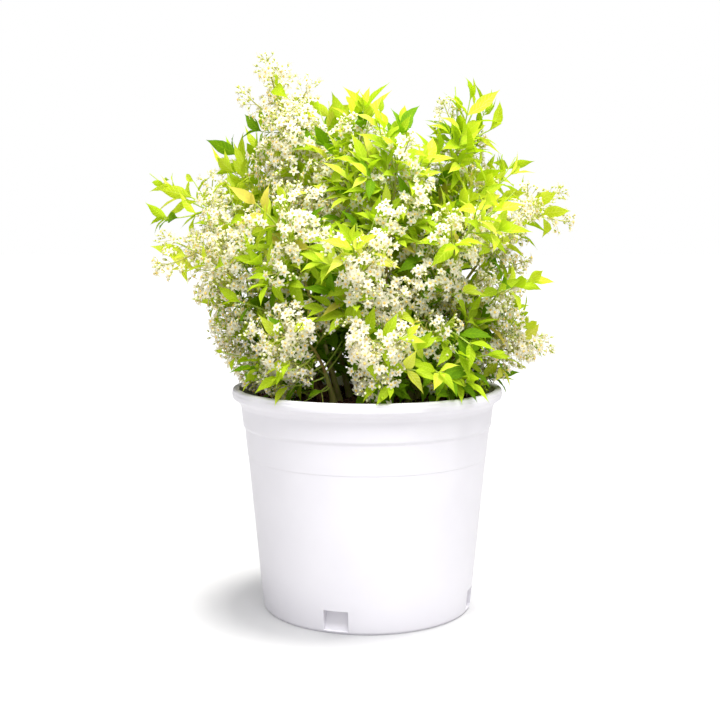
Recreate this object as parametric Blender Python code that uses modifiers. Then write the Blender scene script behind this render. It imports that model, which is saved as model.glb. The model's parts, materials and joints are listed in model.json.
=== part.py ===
"""A deutzia in its nursery pot: canes that rise from the soil, and masses of leaf and blossom.

Metres, +Z up. The origin is the centre of the pot's flat underside, and the front of the plant
faces -Y. Every cane ends where it enters its mass, and the mass grows on from there by one rule.
"""

import math
import random
from collections import namedtuple

import bmesh
import bpy
from mathutils import Matrix, Vector
from mathutils.bvhtree import BVHTree
from mathutils.kdtree import KDTree

# Pot: an 11 inch nursery container, turned, with a rolled lip and a collar under it
POT_HEIGHT = 0.230
LIP_RADIUS = 0.140
LIP_WIDTH = 0.0085
LIP_ROUND = 0.0013
LIP_STEP = 0.0006
LIP_STEP_DROP = 0.0035
LIP_BULGE_DROP = 0.0050
LIP_DROP = 0.0095
LIP_UNDERCUT = 0.0070
LIP_UNDERCUT_DROP = 0.0140
COLLAR_FLARE = 0.0023
COLLAR_FLARE_DROP = 0.0190
COLLAR_DROP = 0.0400
COLLAR_FOOT_RADIUS = 0.1288
COLLAR_STEP = 0.0016
FOOT_RADIUS = 0.1090
FOOT_ROUND = 0.0020
WALL = 0.0025
FLOOR = 0.0030
WELD = 0.00001
TURN_STEPS = 40
SHARP_ANGLE = math.radians(32)

# Drain notches: four pockets let into the foot of the wall
NOTCH_COUNT = 4
NOTCH_FIRST_AZIMUTH = math.radians(-106.3)
NOTCH_WIDTH = 0.0250
NOTCH_TOP = 0.0235
NOTCH_RAMP_FOOT = 0.0035
NOTCH_RAMP_HEAD = 0.0120
NOTCH_OVERRUN = 0.0120
POCKET_SKIN = 0.0020
POCKET_FOOT = 0.0015
POCKET_INSET = 0.0018
POCKET_TOE = 0.0012

# Soil: a filled plug with a slightly mounded top
SOIL_BELOW_RIM = 0.0125
SOIL_EDGE_FALL = 0.0030
SOIL_FLAT_RADIUS = 0.086
SOIL_TURN_STEPS = 20
SOIL_CUT_OVERRUN = 0.0100
SOIL_CUT_TOE = 0.0010
GAP = 0.0003

# Canes: one tapering limb to each mass, set on the soil around the middle of the pot
CANE_FOOT_SPREAD = 0.064
CANE_FOOT_RADIUS = 0.0036
CANE_TIP_RADIUS = 0.0020
CANE_FLARE = 1.35
CANE_FLARE_HEIGHT = 0.008
CANE_POINTS = 5
CANE_LEAST_RISE = 0.088
CANE_RISE_SHARE = 0.72
CANE_LEAN_SHARE = 0.30
# what an upright cane adds to the share, and how fast that goes as the way flattens
CANE_UPRIGHT_LEAN = 0.50
CANE_UPRIGHT_POWER = 8

# Masses: laterals in crossed pairs along the stem that grows on from the cane
NODE_STEP = 0.042
NODE_FIRST = 0.35
STEM_TIP_RADIUS = 0.0014
TIP_OVERHANG_LEAFY = 0.050
TIP_OVERHANG_BLOOM = 0.016
SPIKE_BLOOM = 0.8
LONG_MASS = 0.16
LEAST_VIGOUR = 0.80
LATERAL_LENGTH = 0.070
LATERAL_SHORTEN = 0.42
LATERAL_ANGLE = math.radians(56)
LATERAL_LIFT = 0.20
ROLL_SWAY = 0.35
ANGLE_SWAY = 0.14
LENGTH_SWAY = (0.82, 1.12)
LATERAL_FOOT_RADIUS = 0.0017
LATERAL_TIP_RADIUS = 0.0011
TWIG_SIDES = 3
SAMPLE_STEP = 0.003
SIDE_SPILL = 0.016
LEAST_TOP = 0.370
CELL_GAP = 0.0008
LIMB_GAP = 0.0006
POT_GAP = 0.0020
TWIG_TRIES = (1.0, 0.8, 0.6, 0.5)

# Leaves: opposite pairs, one pair along each twig and one at a leafy tip
LEAF_LENGTH = 0.068
LEAF_WIDTH = 0.030
LEAF_THICKNESS = 0.0016
LEAF_WIDEST = 0.38
LEAF_DROOP = 0.10
LEAF_FOLD = 0.12
LEAF_ANGLE = math.radians(48)
LEAF_PLACE = 0.42
LEAF_SIZES = (0.85, 1.0)
LEAF_ROOM = 0.003
LEAF_TRIES = ((0.0, 1.0), (0.6, 1.0), (-0.6, 1.0), (0.0, 0.75), (0.9, 0.75), (-0.9, 0.75))
LEAF_TO_SKY, LEAF_OUTWARD, LEAF_BACK = 0.55, 6.0, 0.2
TIP_LEAF_SIZE = 0.95
TIP_LEAF_SUNK = 0.002
TIP_ANGLE = math.radians(29)

# Blossom: stars of five petals, one at the end of a flowering twig and one on a spur of its own
PETALS = 5
FLOWER_RADIUS = 0.0160
FLOWER_WAIST = 0.40
FLOWER_CUP = 0.0024
FLOWER_DEPTH = 0.0032
FLOWER_SUNK = 0.3
FLOWER_SIZES = (0.9, 1.1)
FLOWER_ROOM = 0.007
FLOWER_TRIES = (1.0, 0.8, 0.65)
FLOWER_ALONG, FLOWER_OUTWARD, FLOWER_TO_SKY = 1.4, 0.5, 0.3
SPUR_PLACE = 0.62
SPUR_REACHES = (0.020, 0.026)
SPUR_SIZES = (0.85, 1.0)
SPUR_ALONG, SPUR_SIDEWAYS = 0.8, 0.6

# The tip of a mass: a spike of stars on short spurs, or two pairs of young leaves
SPIKE_SPURS = 3
SPIKE_FIRST = 0.012
SPIKE_STEP = 0.009
SPIKE_TURN = 2.1
SPIKE_REACH = 0.016
SPIKE_SIZE = 0.9
SPIKE_ALONG = 0.7
# how far below the tip, roll in radians, size, and opening as a share of the tip angle
FAN_PAIRS = ((0.002, 0.4, 0.80, 0.8), (0.015, 2.0, 0.85, 1.3))

UP = Vector((0, 0, 1))
SOIL_TOP = POT_HEIGHT - SOIL_BELOW_RIM
COLLAR_FOOT = POT_HEIGHT - COLLAR_DROP

# name, bearing from +X in degrees, how far the growth reaches from the pot's axis and up, where
# the cane ends as a share of its way, and the share of laterals that flower
Mass = namedtuple("Mass", "name bearing reach height entry bloom")
MASSES = (
    Mass("spire_left", 176, 0.102, 0.560, 0.32, 0.90),
    Mass("top_middle", 250, 0.030, 0.532, 0.32, 0.25),
    Mass("top_right", 358, 0.120, 0.540, 0.32, 0.35),
    Mass("top_back", 114, 0.094, 0.536, 0.32, 0.50),
    Mass("top_front", 292, 0.094, 0.510, 0.30, 0.60),
    Mass("arm_left", 177, 0.224, 0.448, 0.27, 0.35),
    Mass("arm_left_low", 194, 0.212, 0.386, 0.27, 0.90),
    Mass("arm_front_left", 226, 0.176, 0.432, 0.26, 0.65),
    Mass("arm_front_right", 318, 0.184, 0.424, 0.26, 0.60),
    Mass("arm_right", 354, 0.200, 0.432, 0.27, 0.90),
    Mass("arm_right_high", 14, 0.180, 0.470, 0.28, 0.35),
    Mass("arm_back_right", 54, 0.194, 0.446, 0.26, 0.60),
    Mass("arm_back_left", 151, 0.186, 0.496, 0.27, 0.75),
    Mass("front_middle", 264, 0.166, 0.396, 0.25, 0.75),
    Mass("side_left", 209, 0.174, 0.330, 0.24, 0.75),
    Mass("side_right", 337, 0.200, 0.352, 0.24, 0.70),
    Mass("side_back", 102, 0.190, 0.384, 0.24, 0.65),
    Mass("skirt_left", 188, 0.164, 0.280, 0.24, 0.90),
    Mass("skirt_front_left", 236, 0.166, 0.282, 0.22, 0.90),
    Mass("skirt_front", 272, 0.158, 0.276, 0.22, 0.85),
    Mass("skirt_front_right", 312, 0.172, 0.270, 0.22, 0.60),
    Mass("skirt_right", 354, 0.192, 0.270, 0.24, 0.50),
    Mass("skirt_back_right", 36, 0.176, 0.296, 0.22, 0.60),
    Mass("skirt_back", 76, 0.166, 0.284, 0.22, 0.70),
    Mass("skirt_back_left", 146, 0.174, 0.296, 0.22, 0.60),
)


def clear_scene():
    """Empties the startup scene."""
    for found in list(bpy.data.objects):
        bpy.data.objects.remove(found, do_unlink=True)


def new_collection(name):
    """A collection of that name, linked to the scene."""
    made = bpy.data.collections.new(name)
    bpy.context.scene.collection.children.link(made)
    return made


def principled(name, colour, roughness):
    """A plain Principled material."""
    material = bpy.data.materials.new(name)
    material.use_nodes = True
    shader = material.node_tree.nodes["Principled BSDF"]
    shader.inputs["Base Color"].default_value = (*colour, 1)
    shader.inputs["Roughness"].default_value = roughness
    shader.inputs["Metallic"].default_value = 0.0
    return material


def new_object(name, mesh, collection, material=None):
    """An object holding this mesh, in this collection."""
    made = bpy.data.objects.new(name, mesh)
    collection.objects.link(made)
    if material:
        made.data.materials.append(material)
    return made


def polar(bearing, radius, height):
    """The point at this bearing, radius and height."""
    return Vector((radius * math.cos(bearing), radius * math.sin(bearing), height))


# Pot and soil


def wall_radius(height):
    """Outer radius of the tapered wall below the collar's step, at this height."""
    shoulder = COLLAR_FOOT_RADIUS - COLLAR_STEP
    return FOOT_RADIUS + (shoulder - FOOT_RADIUS) * height / COLLAR_FOOT


def inner_radius(height):
    """Radius of the pot's inner face at this height: the wall's, and from the collar up the lip's."""
    if height <= COLLAR_FOOT:
        return wall_radius(height) - WALL
    foot = wall_radius(COLLAR_FOOT) - WALL
    share = (height - COLLAR_FOOT) / (COLLAR_DROP - LIP_UNDERCUT_DROP)
    return foot + (LIP_RADIUS - LIP_WIDTH - foot) * share


def pot_profile():
    """The pot's section, from the middle of its inner floor, over the lip, to the underside."""
    inside, outside = LIP_RADIUS - LIP_WIDTH, LIP_RADIUS - LIP_STEP
    collar_head = LIP_RADIUS - LIP_UNDERCUT
    return (
        (0.0, FLOOR),
        (inner_radius(FLOOR) - FOOT_ROUND, FLOOR),
        (inner_radius(FLOOR + FOOT_ROUND), FLOOR + FOOT_ROUND),
        (inner_radius(COLLAR_FOOT), COLLAR_FOOT),
        (inside, POT_HEIGHT - LIP_UNDERCUT_DROP),
        (inside + LIP_STEP, POT_HEIGHT - LIP_ROUND),
        (inside + LIP_STEP + LIP_ROUND, POT_HEIGHT),
        (outside - LIP_ROUND, POT_HEIGHT),
        (outside, POT_HEIGHT - LIP_ROUND),
        (outside, POT_HEIGHT - LIP_STEP_DROP),
        (LIP_RADIUS, POT_HEIGHT - LIP_BULGE_DROP),
        (outside, POT_HEIGHT - LIP_DROP),
        (collar_head, POT_HEIGHT - LIP_UNDERCUT_DROP),
        (collar_head - COLLAR_FLARE, POT_HEIGHT - COLLAR_FLARE_DROP),
        (COLLAR_FOOT_RADIUS, COLLAR_FOOT + COLLAR_STEP),
        (COLLAR_FOOT_RADIUS - COLLAR_STEP, COLLAR_FOOT - LIP_STEP),
        (wall_radius(FOOT_ROUND), FOOT_ROUND),
        (FOOT_RADIUS - FOOT_ROUND, 0.0),
        (0.0, 0.0),
    )


def turned(name, profile, steps, collection, material):
    """The solid that this section makes when it is turned about Z."""
    mesh = bpy.data.meshes.new(name)
    points = [(radius, 0, height) for radius, height in profile]
    mesh.from_pydata(points, [(i, i + 1) for i in range(len(points) - 1)], [])
    made = new_object(name, mesh, collection, material)
    screw = made.modifiers.new("turn", "SCREW")
    screw.steps = screw.render_steps = steps
    screw.use_merge_vertices = True
    screw.merge_threshold = WELD
    return made


def pocket_outline(grown):
    """Section of the plastic behind a notch, in radius and height, grown on its inner sides."""
    skin = POCKET_SKIN + grown
    head = NOTCH_TOP + skin
    return (
        (wall_radius(POCKET_FOOT) - POCKET_INSET, POCKET_FOOT),
        (wall_radius(head) - POCKET_INSET, head),
        (wall_radius(head) - NOTCH_RAMP_HEAD - skin, head),
        (FOOT_RADIUS - NOTCH_RAMP_FOOT - skin - POCKET_TOE, POCKET_FOOT),
    )


def notch_outline():
    """Section of what is cut away at a notch: the wall, down to the floor plate, with a ramp."""
    return (
        (FOOT_RADIUS + NOTCH_OVERRUN, FLOOR),
        (FOOT_RADIUS + NOTCH_OVERRUN, NOTCH_TOP),
        (wall_radius(NOTCH_TOP) - NOTCH_RAMP_HEAD, NOTCH_TOP),
        (FOOT_RADIUS - NOTCH_RAMP_FOOT, FLOOR),
    )


def extruded_outline(name, outline, width, bearing, collection):
    """A closed prism: this section in radius and height, made this wide across the bearing."""
    curve = bpy.data.curves.new(name, "CURVE")
    curve.dimensions = "2D"
    curve.fill_mode = "BOTH"
    curve.extrude = width / 2
    spline = curve.splines.new("POLY")
    spline.points.add(len(outline) - 1)
    for point, (radius, height) in zip(spline.points, outline):
        point.co = (radius, height, 0, 1)
    spline.use_cyclic_u = True
    drawn = bpy.data.objects.new(name + "_curve", curve)
    collection.objects.link(drawn)
    drawn.matrix_world = Matrix.Rotation(bearing, 4, "Z") @ Matrix.Rotation(math.pi / 2, 4, "X")
    return solid_mesh(drawn, name, collection)


def solid_mesh(drawn, name, collection):
    """Turns a curve object into a closed mesh object in the same place, and removes the curve."""
    bpy.context.view_layer.update()
    graph = bpy.context.evaluated_depsgraph_get()
    mesh = bpy.data.meshes.new_from_object(drawn.evaluated_get(graph))
    made = new_object(name, mesh, collection)
    made.matrix_world = drawn.matrix_world.copy()
    bpy.data.objects.remove(drawn, do_unlink=True)
    edit_mesh(mesh, lambda shape: bmesh.ops.remove_doubles(shape, verts=shape.verts, dist=WELD))
    return made


def edit_mesh(mesh, change):
    """Runs a change on the mesh through bmesh, and turns its faces to point out."""
    shape = bmesh.new()
    shape.from_mesh(mesh)
    change(shape)
    bmesh.ops.recalc_face_normals(shape, faces=shape.faces)
    shape.to_mesh(mesh)
    shape.free()


def helper(made):
    """Marks a cutter, so that it is no part of the object."""
    made.hide_render = True
    made.display_type = "WIRE"
    return made


def boolean(target, other, operation):
    """Joins or cuts the target by the other object."""
    modifier = target.modifiers.new(operation.lower(), "BOOLEAN")
    modifier.operation = operation
    modifier.object = other


def apply_modifiers(made):
    """Turns an object's modifiers into its mesh."""
    bpy.context.view_layer.update()
    graph = bpy.context.evaluated_depsgraph_get()
    mesh = bpy.data.meshes.new_from_object(made.evaluated_get(graph))
    made.modifiers.clear()
    made.data = mesh


def shade(mesh):
    """Shades a turned piece smooth, with its edges kept sharp."""
    mesh.shade_smooth()
    mesh.set_sharp_from_angle(angle=SHARP_ANGLE)


def notch_bearings():
    """The bearings of the four drain notches."""
    return [NOTCH_FIRST_AZIMUTH + i * math.tau / NOTCH_COUNT for i in range(NOTCH_COUNT)]


def build_pot(plant, cutters):
    """The pot, with a pocket behind each drain notch."""
    plastic = principled("pot_plastic", (0.86, 0.86, 0.88), 0.32)
    pot = turned("pot", pot_profile(), TURN_STEPS, plant, plastic)
    for i, bearing in enumerate(notch_bearings()):
        width = NOTCH_WIDTH + 2 * POCKET_SKIN
        pocket = extruded_outline(f"pocket_{i}", pocket_outline(0), width, bearing, cutters)
        boolean(pot, helper(pocket), "UNION")
    for i, bearing in enumerate(notch_bearings()):
        notch = extruded_outline(f"notch_{i}", notch_outline(), NOTCH_WIDTH, bearing, cutters)
        boolean(pot, helper(notch), "DIFFERENCE")
    apply_modifiers(pot)
    shade(pot.data)


def soil_cut_outline():
    """Section of what is cut away from the soil at a notch: the pocket, grown and run out on all sides."""
    (foot, _), (head, top), (ramp, _), (toe, _) = pocket_outline(2 * GAP)
    return (
        (foot + SOIL_CUT_OVERRUN, 0.0),
        (head + SOIL_CUT_OVERRUN, top),
        (ramp, top),
        (toe - SOIL_CUT_TOE, 0.0),
    )


def build_soil(plant, cutters):
    """The soil that fills the pot, cut clear of the pockets."""
    edge = SOIL_TOP - SOIL_EDGE_FALL
    low = FLOOR + FOOT_ROUND + GAP
    profile = (
        (0.0, SOIL_TOP),
        (SOIL_FLAT_RADIUS, SOIL_TOP),
        (inner_radius(edge) - 2 * GAP, edge),
        (inner_radius(COLLAR_FOOT) - 2 * GAP, COLLAR_FOOT),
        (inner_radius(low) - 2 * GAP, low),
        (inner_radius(low) - FOOT_ROUND - 2 * GAP, FLOOR + GAP),
        (0.0, FLOOR + GAP),
    )
    soil = turned("soil", profile, SOIL_TURN_STEPS, plant, principled("soil", (0.06, 0.03, 0.025), 0.95))
    for i, bearing in enumerate(notch_bearings()):
        width = NOTCH_WIDTH + 2 * (POCKET_SKIN + 2 * GAP)
        cutter = extruded_outline(f"soil_cut_{i}", soil_cut_outline(), width, bearing, cutters)
        boolean(soil, helper(cutter), "DIFFERENCE")
    apply_modifiers(soil)
    shade(soil.data)


# Canes


class Way:
    """The arched way of one cane and of the stem that grows on from it, foot to tip."""

    def __init__(self, mass):
        bearing = math.radians(mass.bearing)
        climb = mass.height - SOIL_TOP
        spread = CANE_FOOT_SPREAD * mass.reach / math.hypot(mass.reach, climb)
        self.foot = polar(bearing, spread, SOIL_TOP + GAP)
        rise = max(climb * CANE_RISE_SHARE, CANE_LEAST_RISE)
        upright = (climb / math.hypot(mass.reach, climb)) ** CANE_UPRIGHT_POWER
        lean_share = CANE_LEAN_SHARE + CANE_UPRIGHT_LEAN * upright
        lean = spread + (mass.reach - spread) * lean_share
        self.bend = polar(bearing, lean, self.foot.z + rise)
        furthest = polar(bearing, mass.reach, mass.height)
        overhang = TIP_OVERHANG_BLOOM if mass.bloom > SPIKE_BLOOM else TIP_OVERHANG_LEAFY
        self.tip = furthest - (furthest - self.bend).normalized() * overhang

    def point(self, share):
        """The point at this share of the way."""
        back = 1 - share
        return self.foot * back**2 + self.bend * (2 * back * share) + self.tip * share**2

    def heading(self, share):
        """The unit direction of the way at this share."""
        way = (self.bend - self.foot) * (1 - share) + (self.tip - self.bend) * share
        return way.normalized()

    def samples(self, start, end, count):
        """Evenly numbered points between two shares, both ends among them."""
        return [self.point(start + (end - start) * i / count) for i in range(count + 1)]

    def length(self, start, end):
        """Length of the way between two shares."""
        points = self.samples(start, end, 24)
        return sum((b - a).length for a, b in zip(points, points[1:]))


def cane_points(mass, way, grown=0.0):
    """Centre points and radii of a cane: a flared foot, an even taper, and the end at its mass."""
    points = [(way.foot.copy(), CANE_FOOT_RADIUS * CANE_FLARE + grown)]
    for i in range(CANE_POINTS - 1):
        along = i / (CANE_POINTS - 2)
        radius = CANE_FOOT_RADIUS + (CANE_TIP_RADIUS - CANE_FOOT_RADIUS) * along
        lifted = UP * CANE_FLARE_HEIGHT * (1 - along)
        points.append((way.point(mass.entry * along) + lifted, radius + grown))
    return points


def tube(name, points, collection, resolution=1):
    """A closed tapering tube through these centre points and radii."""
    curve = bpy.data.curves.new(name, "CURVE")
    curve.dimensions = "3D"
    curve.bevel_depth = 1.0
    curve.bevel_resolution = resolution
    curve.use_fill_caps = True
    spline = curve.splines.new("POLY")
    spline.points.add(len(points) - 1)
    for point, (place, radius) in zip(spline.points, points):
        point.co = (*place, 1)
        point.radius = radius
    drawn = bpy.data.objects.new(name + "_curve", curve)
    collection.objects.link(drawn)
    return solid_mesh(drawn, name, collection)


def build_canes(ways, plant):
    """The canes, from a flat cut on the soil to their masses. Gives their meshes, grown by a gap."""
    bark = principled("bark", (0.22, 0.12, 0.08), 0.8)
    grown = []
    for mass in MASSES:
        way = ways[mass.name]
        cane = tube("cane_" + mass.name, cane_points(mass, way), plant)
        cane.data.materials.append(bark)
        cane.data.shade_smooth()
        wide = tube("wide_" + mass.name, cane_points(mass, way, LIMB_GAP), plant)
        grown.append(wide.data)
        bpy.data.objects.remove(wide, do_unlink=True)
    return grown


# Leaves, blossom and twigs


def placed(shape, place, along, facing):
    """Moves a shape from its own frame to a place, with its X along and its Z facing."""
    x = along.normalized()
    z = (facing - x * facing.dot(x)).normalized()
    turn = Matrix((x, z.cross(x), z)).transposed().to_4x4()
    bmesh.ops.transform(shape, matrix=Matrix.Translation(place) @ turn, verts=shape.verts)
    return shape


def leaf_shape(length, width):
    """A pointed blade of eight faces, its foot at the origin and its tip along X."""
    shape = bmesh.new()
    bmesh.ops.create_uvsphere(shape, u_segments=4, v_segments=2, radius=1.0)
    bmesh.ops.rotate(shape, verts=shape.verts, matrix=Matrix.Rotation(math.pi / 2, 3, "Y"))
    for vertex in shape.verts:
        x, y, z = vertex.co
        if abs(x) > 0.5:
            vertex.co = (length, 0, -LEAF_DROOP * length) if x > 0 else (0, 0, 0)
        else:
            fold = LEAF_FOLD * width * abs(y)
            vertex.co = (LEAF_WIDEST * length, y * width / 2, z * LEAF_THICKNESS / 2 + fold)
    return shape


def flower_shape(radius):
    """A star of five petals, facing Z, with its flat back at the origin and its eye raised."""
    shape = bmesh.new()
    bmesh.ops.create_cone(
        shape, cap_ends=True, segments=2 * PETALS, radius1=radius, radius2=0, depth=FLOWER_DEPTH
    )
    bmesh.ops.translate(shape, verts=shape.verts, vec=(0, 0, FLOWER_DEPTH / 2))
    rim = [vertex for vertex in shape.verts if vertex.co.xy.length > radius / 2]
    for vertex in rim:
        if round(math.atan2(vertex.co.y, vertex.co.x) / math.pi * PETALS) % 2:
            vertex.co = vertex.co * FLOWER_WAIST
        else:
            vertex.co.z = FLOWER_CUP
    bmesh.ops.triangulate(shape, faces=shape.faces)
    return shape


def twig_shape(start, end, foot_radius, tip_radius):
    """A three-sided tapering twig between two points."""
    shape = bmesh.new()
    way = end - start
    bmesh.ops.create_cone(
        shape, cap_ends=True, segments=TWIG_SIDES, radius1=foot_radius, radius2=tip_radius, depth=way.length
    )
    turn = way.to_track_quat("Z", "Y").to_matrix().to_4x4()
    bmesh.ops.transform(shape, matrix=Matrix.Translation((start + end) / 2) @ turn, verts=shape.verts)
    return shape


# The growth rule


def mesh_lists(mesh):
    """The points and the faces of a mesh, as lists."""
    return [vertex.co.copy() for vertex in mesh.vertices], [list(face.vertices) for face in mesh.polygons]


class Space:
    """Where growth may go: each mass keeps to its own space, clear of canes, masses, pot and soil."""

    def __init__(self, ways):
        self.own, self.others = {}, {}
        samples = {}
        for mass in MASSES:
            way = ways[mass.name]
            count = math.ceil(way.length(mass.entry, 1) / SAMPLE_STEP)
            samples[mass.name] = way.samples(mass.entry, 1, count)
        for name in samples:
            self.own[name] = self.tree(samples[name])
            self.others[name] = self.tree([p for other in samples if other != name for p in samples[other]])
        self.solids = []

    @staticmethod
    def tree(points):
        """A search tree of these points."""
        made = KDTree(len(points))
        for i, point in enumerate(points):
            made.insert(point, i)
        made.balance()
        return made

    def add_solid(self, mesh):
        """Takes a mesh as what growth may not touch."""
        self.solids.append(BVHTree.FromPolygons(*mesh_lists(mesh)))

    def in_cell(self, name, point, room=0.0):
        """True if the point is nearer to the stem of this mass than to any other's, with room round it."""
        return self.own[name].find(point)[2] + CELL_GAP + 2 * room < self.others[name].find(point)[2]

    @staticmethod
    def off_pot(point):
        """True if the point isn't near the pot or the soil."""
        radius = math.hypot(point.x, point.y)
        if radius < LIP_RADIUS - LIP_WIDTH - POT_GAP:
            return point.z > SOIL_TOP + POT_GAP
        return radius > LIP_RADIUS + POT_GAP or point.z > POT_HEIGHT + POT_GAP

    def allows(self, mass, shape, tree, steps=6):
        """True if this shape, with this search tree, may grow there."""
        top = max(mass.height, LEAST_TOP)
        for vertex in shape.verts:
            if vertex.co.z > top or vertex.co.xy.length > mass.reach + SIDE_SPILL:
                return False
        for edge in shape.edges:
            a, b = (vertex.co for vertex in edge.verts)
            for i in range(steps + 1):
                point = a.lerp(b, i / steps)
                if not self.off_pot(point) or not self.in_cell(mass.name, point):
                    return False
        return not any(solid.overlap(tree) for solid in self.solids)


def sideways(heading, roll):
    """The unit direction square to the heading, rolled this far round it from level."""
    level = heading.cross(UP)
    if level.length < 0.05:
        level = Vector((1, 0, 0))
    return Matrix.Rotation(roll, 3, heading) @ level.normalized()


def leaf_facing(place, along):
    """Leaves turn their upper face to the sky and away from the middle of the plant."""
    outward = Vector((place.x, place.y, 0))
    return UP * LEAF_TO_SKY + outward * LEAF_OUTWARD - along * LEAF_BACK


def vigour(mass, way):
    """How large the twigs, leaves and flowers of a mass are: a short mass has smaller ones."""
    return min(1.0, max(LEAST_VIGOUR, way.length(mass.entry, 1) / LONG_MASS))


def node_shares(mass, way):
    """Where the pairs of laterals leave the stem of a mass, as shares of the way."""
    count = round(way.length(mass.entry, 1) / (NODE_STEP * vigour(mass, way)))
    return [mass.entry + (1 - mass.entry) * (node + NODE_FIRST) / count for node in range(count)]


def laterals(mass, way):
    """Each lateral of a mass: its side, foot, direction, length, whether it flowers, and its dice."""
    for node, share in enumerate(node_shares(mass, way)):
        along = (share - mass.entry) / (1 - mass.entry)
        heading = way.heading(share)
        for side in range(2):
            dice = random.Random(f"{mass.name} {node} {side}")
            roll = node * math.pi / 2 + side * math.pi + dice.uniform(-ROLL_SWAY, ROLL_SWAY)
            opening = LATERAL_ANGLE + dice.uniform(-ANGLE_SWAY, ANGLE_SWAY)
            direction = heading * math.cos(opening) + sideways(heading, roll) * math.sin(opening)
            direction = (direction + UP * LATERAL_LIFT).normalized()
            reach = vigour(mass, way) * LATERAL_LENGTH * (1 - LATERAL_SHORTEN * along)
            reach *= dice.uniform(*LENGTH_SWAY)
            yield side, way.point(share), direction, reach, dice.random() < mass.bloom, dice


class Growth:
    """The pieces of one mass, each made and kept where the mass has space."""

    def __init__(self, mass, way, space, stem, collection):
        self.mass, self.way, self.space, self.collection = mass, way, space, collection
        self.size = vigour(mass, way)
        self.stem = BVHTree.FromPolygons(*mesh_lists(stem))
        self.trees = [self.stem]
        self.buds, self.nodes = [], []

    def grow(self):
        """Grows the twigs first, then the blossom, and then the leaves round them."""
        self.tip()
        twin = None
        for side, *lateral in laterals(self.mass, self.way):
            twin = self.lateral(*lateral, twin if side else None)
        for bud in self.buds:
            self.flower(*bud)
        for node in self.nodes:
            self.leaf_pair(*node)

    def keep(self, shape, carriers):
        """Makes the shape an object if it may grow there, and gives its search tree, or None."""
        bmesh.ops.recalc_face_normals(shape, faces=shape.faces)
        own = BVHTree.FromBMesh(shape)
        crosses = any(tree.overlap(own) for tree in self.trees if tree not in carriers)
        allowed = not crosses and self.space.allows(self.mass, shape, own)
        if allowed:
            mesh = bpy.data.meshes.new(self.mass.name + "_piece")
            shape.to_mesh(mesh)
            new_object(mesh.name, mesh, self.collection)
        shape.free()
        return own if allowed else None

    def leaf_pair(self, foot, heading, roll, size, opening, carrier):
        """Adds two opposite leaves, each turned or made smaller until it fits, or left out."""
        pair = []
        for side in (0, math.pi):
            for turn, shrink in LEAF_TRIES:
                across = sideways(heading, roll + side + turn)
                along = heading * math.cos(opening) + across * math.sin(opening)
                grown = size * shrink * self.size
                shape = leaf_shape(LEAF_LENGTH * grown, LEAF_WIDTH * grown)
                tree = self.keep(placed(shape, foot, along, leaf_facing(foot, along)), [carrier])
                if tree:
                    pair.append(tree)
                    break
        self.trees += pair

    def flower(self, end, heading, size, carrier):
        """Adds one flower, whose back the end of a twig is sunk in."""
        outward = Vector((end.x, end.y, 0)).normalized()
        facing = heading * FLOWER_ALONG + outward * FLOWER_OUTWARD + UP * FLOWER_TO_SKY
        facing.normalize()
        for shrink in FLOWER_TRIES:
            shape = flower_shape(FLOWER_RADIUS * size * shrink * self.size)
            place = end - facing * FLOWER_DEPTH * FLOWER_SUNK
            tree = self.keep(placed(shape, place, sideways(facing, size), facing), [carrier])
            if tree:
                self.trees.append(tree)
                return

    def twig(self, foot, direction, reach, foot_radius, carriers, room):
        """Adds one twig, as long as there is space for with room at its end, and gives both."""
        for shrink in TWIG_TRIES:
            end = foot + direction * reach * shrink
            if not self.space.in_cell(self.mass.name, end, room):
                continue
            tree = self.keep(twig_shape(foot, end, foot_radius, LATERAL_TIP_RADIUS), carriers)
            if tree:
                self.trees.append(tree)
                return end, tree
        return None, None

    def spur(self, foot, direction, reach, size, carrier):
        """Adds one flower on a short twig of its own."""
        end, tree = self.twig(foot, direction, reach, LATERAL_TIP_RADIUS, [carrier], FLOWER_ROOM)
        if tree:
            self.buds.append((end, direction, size, tree))

    def lateral(self, foot, direction, reach, flowers, dice, twin):
        """Adds one lateral twig with its leaves, and blossom or a leafy tip at its end."""
        room = FLOWER_ROOM if flowers else LEAF_ROOM
        end, twig = self.twig(foot, direction, reach, LATERAL_FOOT_RADIUS, [self.stem, twin], room)
        if not twig:
            return None
        roll = dice.uniform(0, math.pi)
        crossed = roll + math.pi / 2
        if flowers:
            self.buds.append((end, direction, dice.uniform(*FLOWER_SIZES), twig))
            side = direction * SPUR_ALONG + sideways(direction, crossed) * SPUR_SIDEWAYS
            spur = side.normalized(), dice.uniform(*SPUR_REACHES), dice.uniform(*SPUR_SIZES)
            self.spur(foot.lerp(end, SPUR_PLACE), *spur, twig)
        else:
            sunk = end - direction * TIP_LEAF_SUNK
            self.nodes.append((sunk, direction, crossed, TIP_LEAF_SIZE, TIP_ANGLE, twig))
        size = dice.uniform(*LEAF_SIZES)
        self.nodes.append((foot.lerp(end, LEAF_PLACE), direction, roll, size, LEAF_ANGLE, twig))
        return twig

    def tip(self):
        """Adds what the stem of the mass ends in: a spike of blossom, or a fan of young leaves."""
        end = self.way.tip
        heading = (end - self.way.point(node_shares(self.mass, self.way)[-1])).normalized()
        if self.mass.bloom > SPIKE_BLOOM:
            self.buds.append((end, heading, SPIKE_SIZE, self.stem))
            for i in range(SPIKE_SPURS):
                side = (sideways(heading, i * SPIKE_TURN) + heading * SPIKE_ALONG).normalized()
                place = end - heading * (SPIKE_FIRST + SPIKE_STEP * i)
                self.spur(place, side, SPIKE_REACH, SPIKE_SIZE, self.stem)
        else:
            for below, roll, size, opening in FAN_PAIRS:
                place = end - heading * below
                self.nodes.append((place, heading, roll, size, TIP_ANGLE * opening, self.stem))


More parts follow.
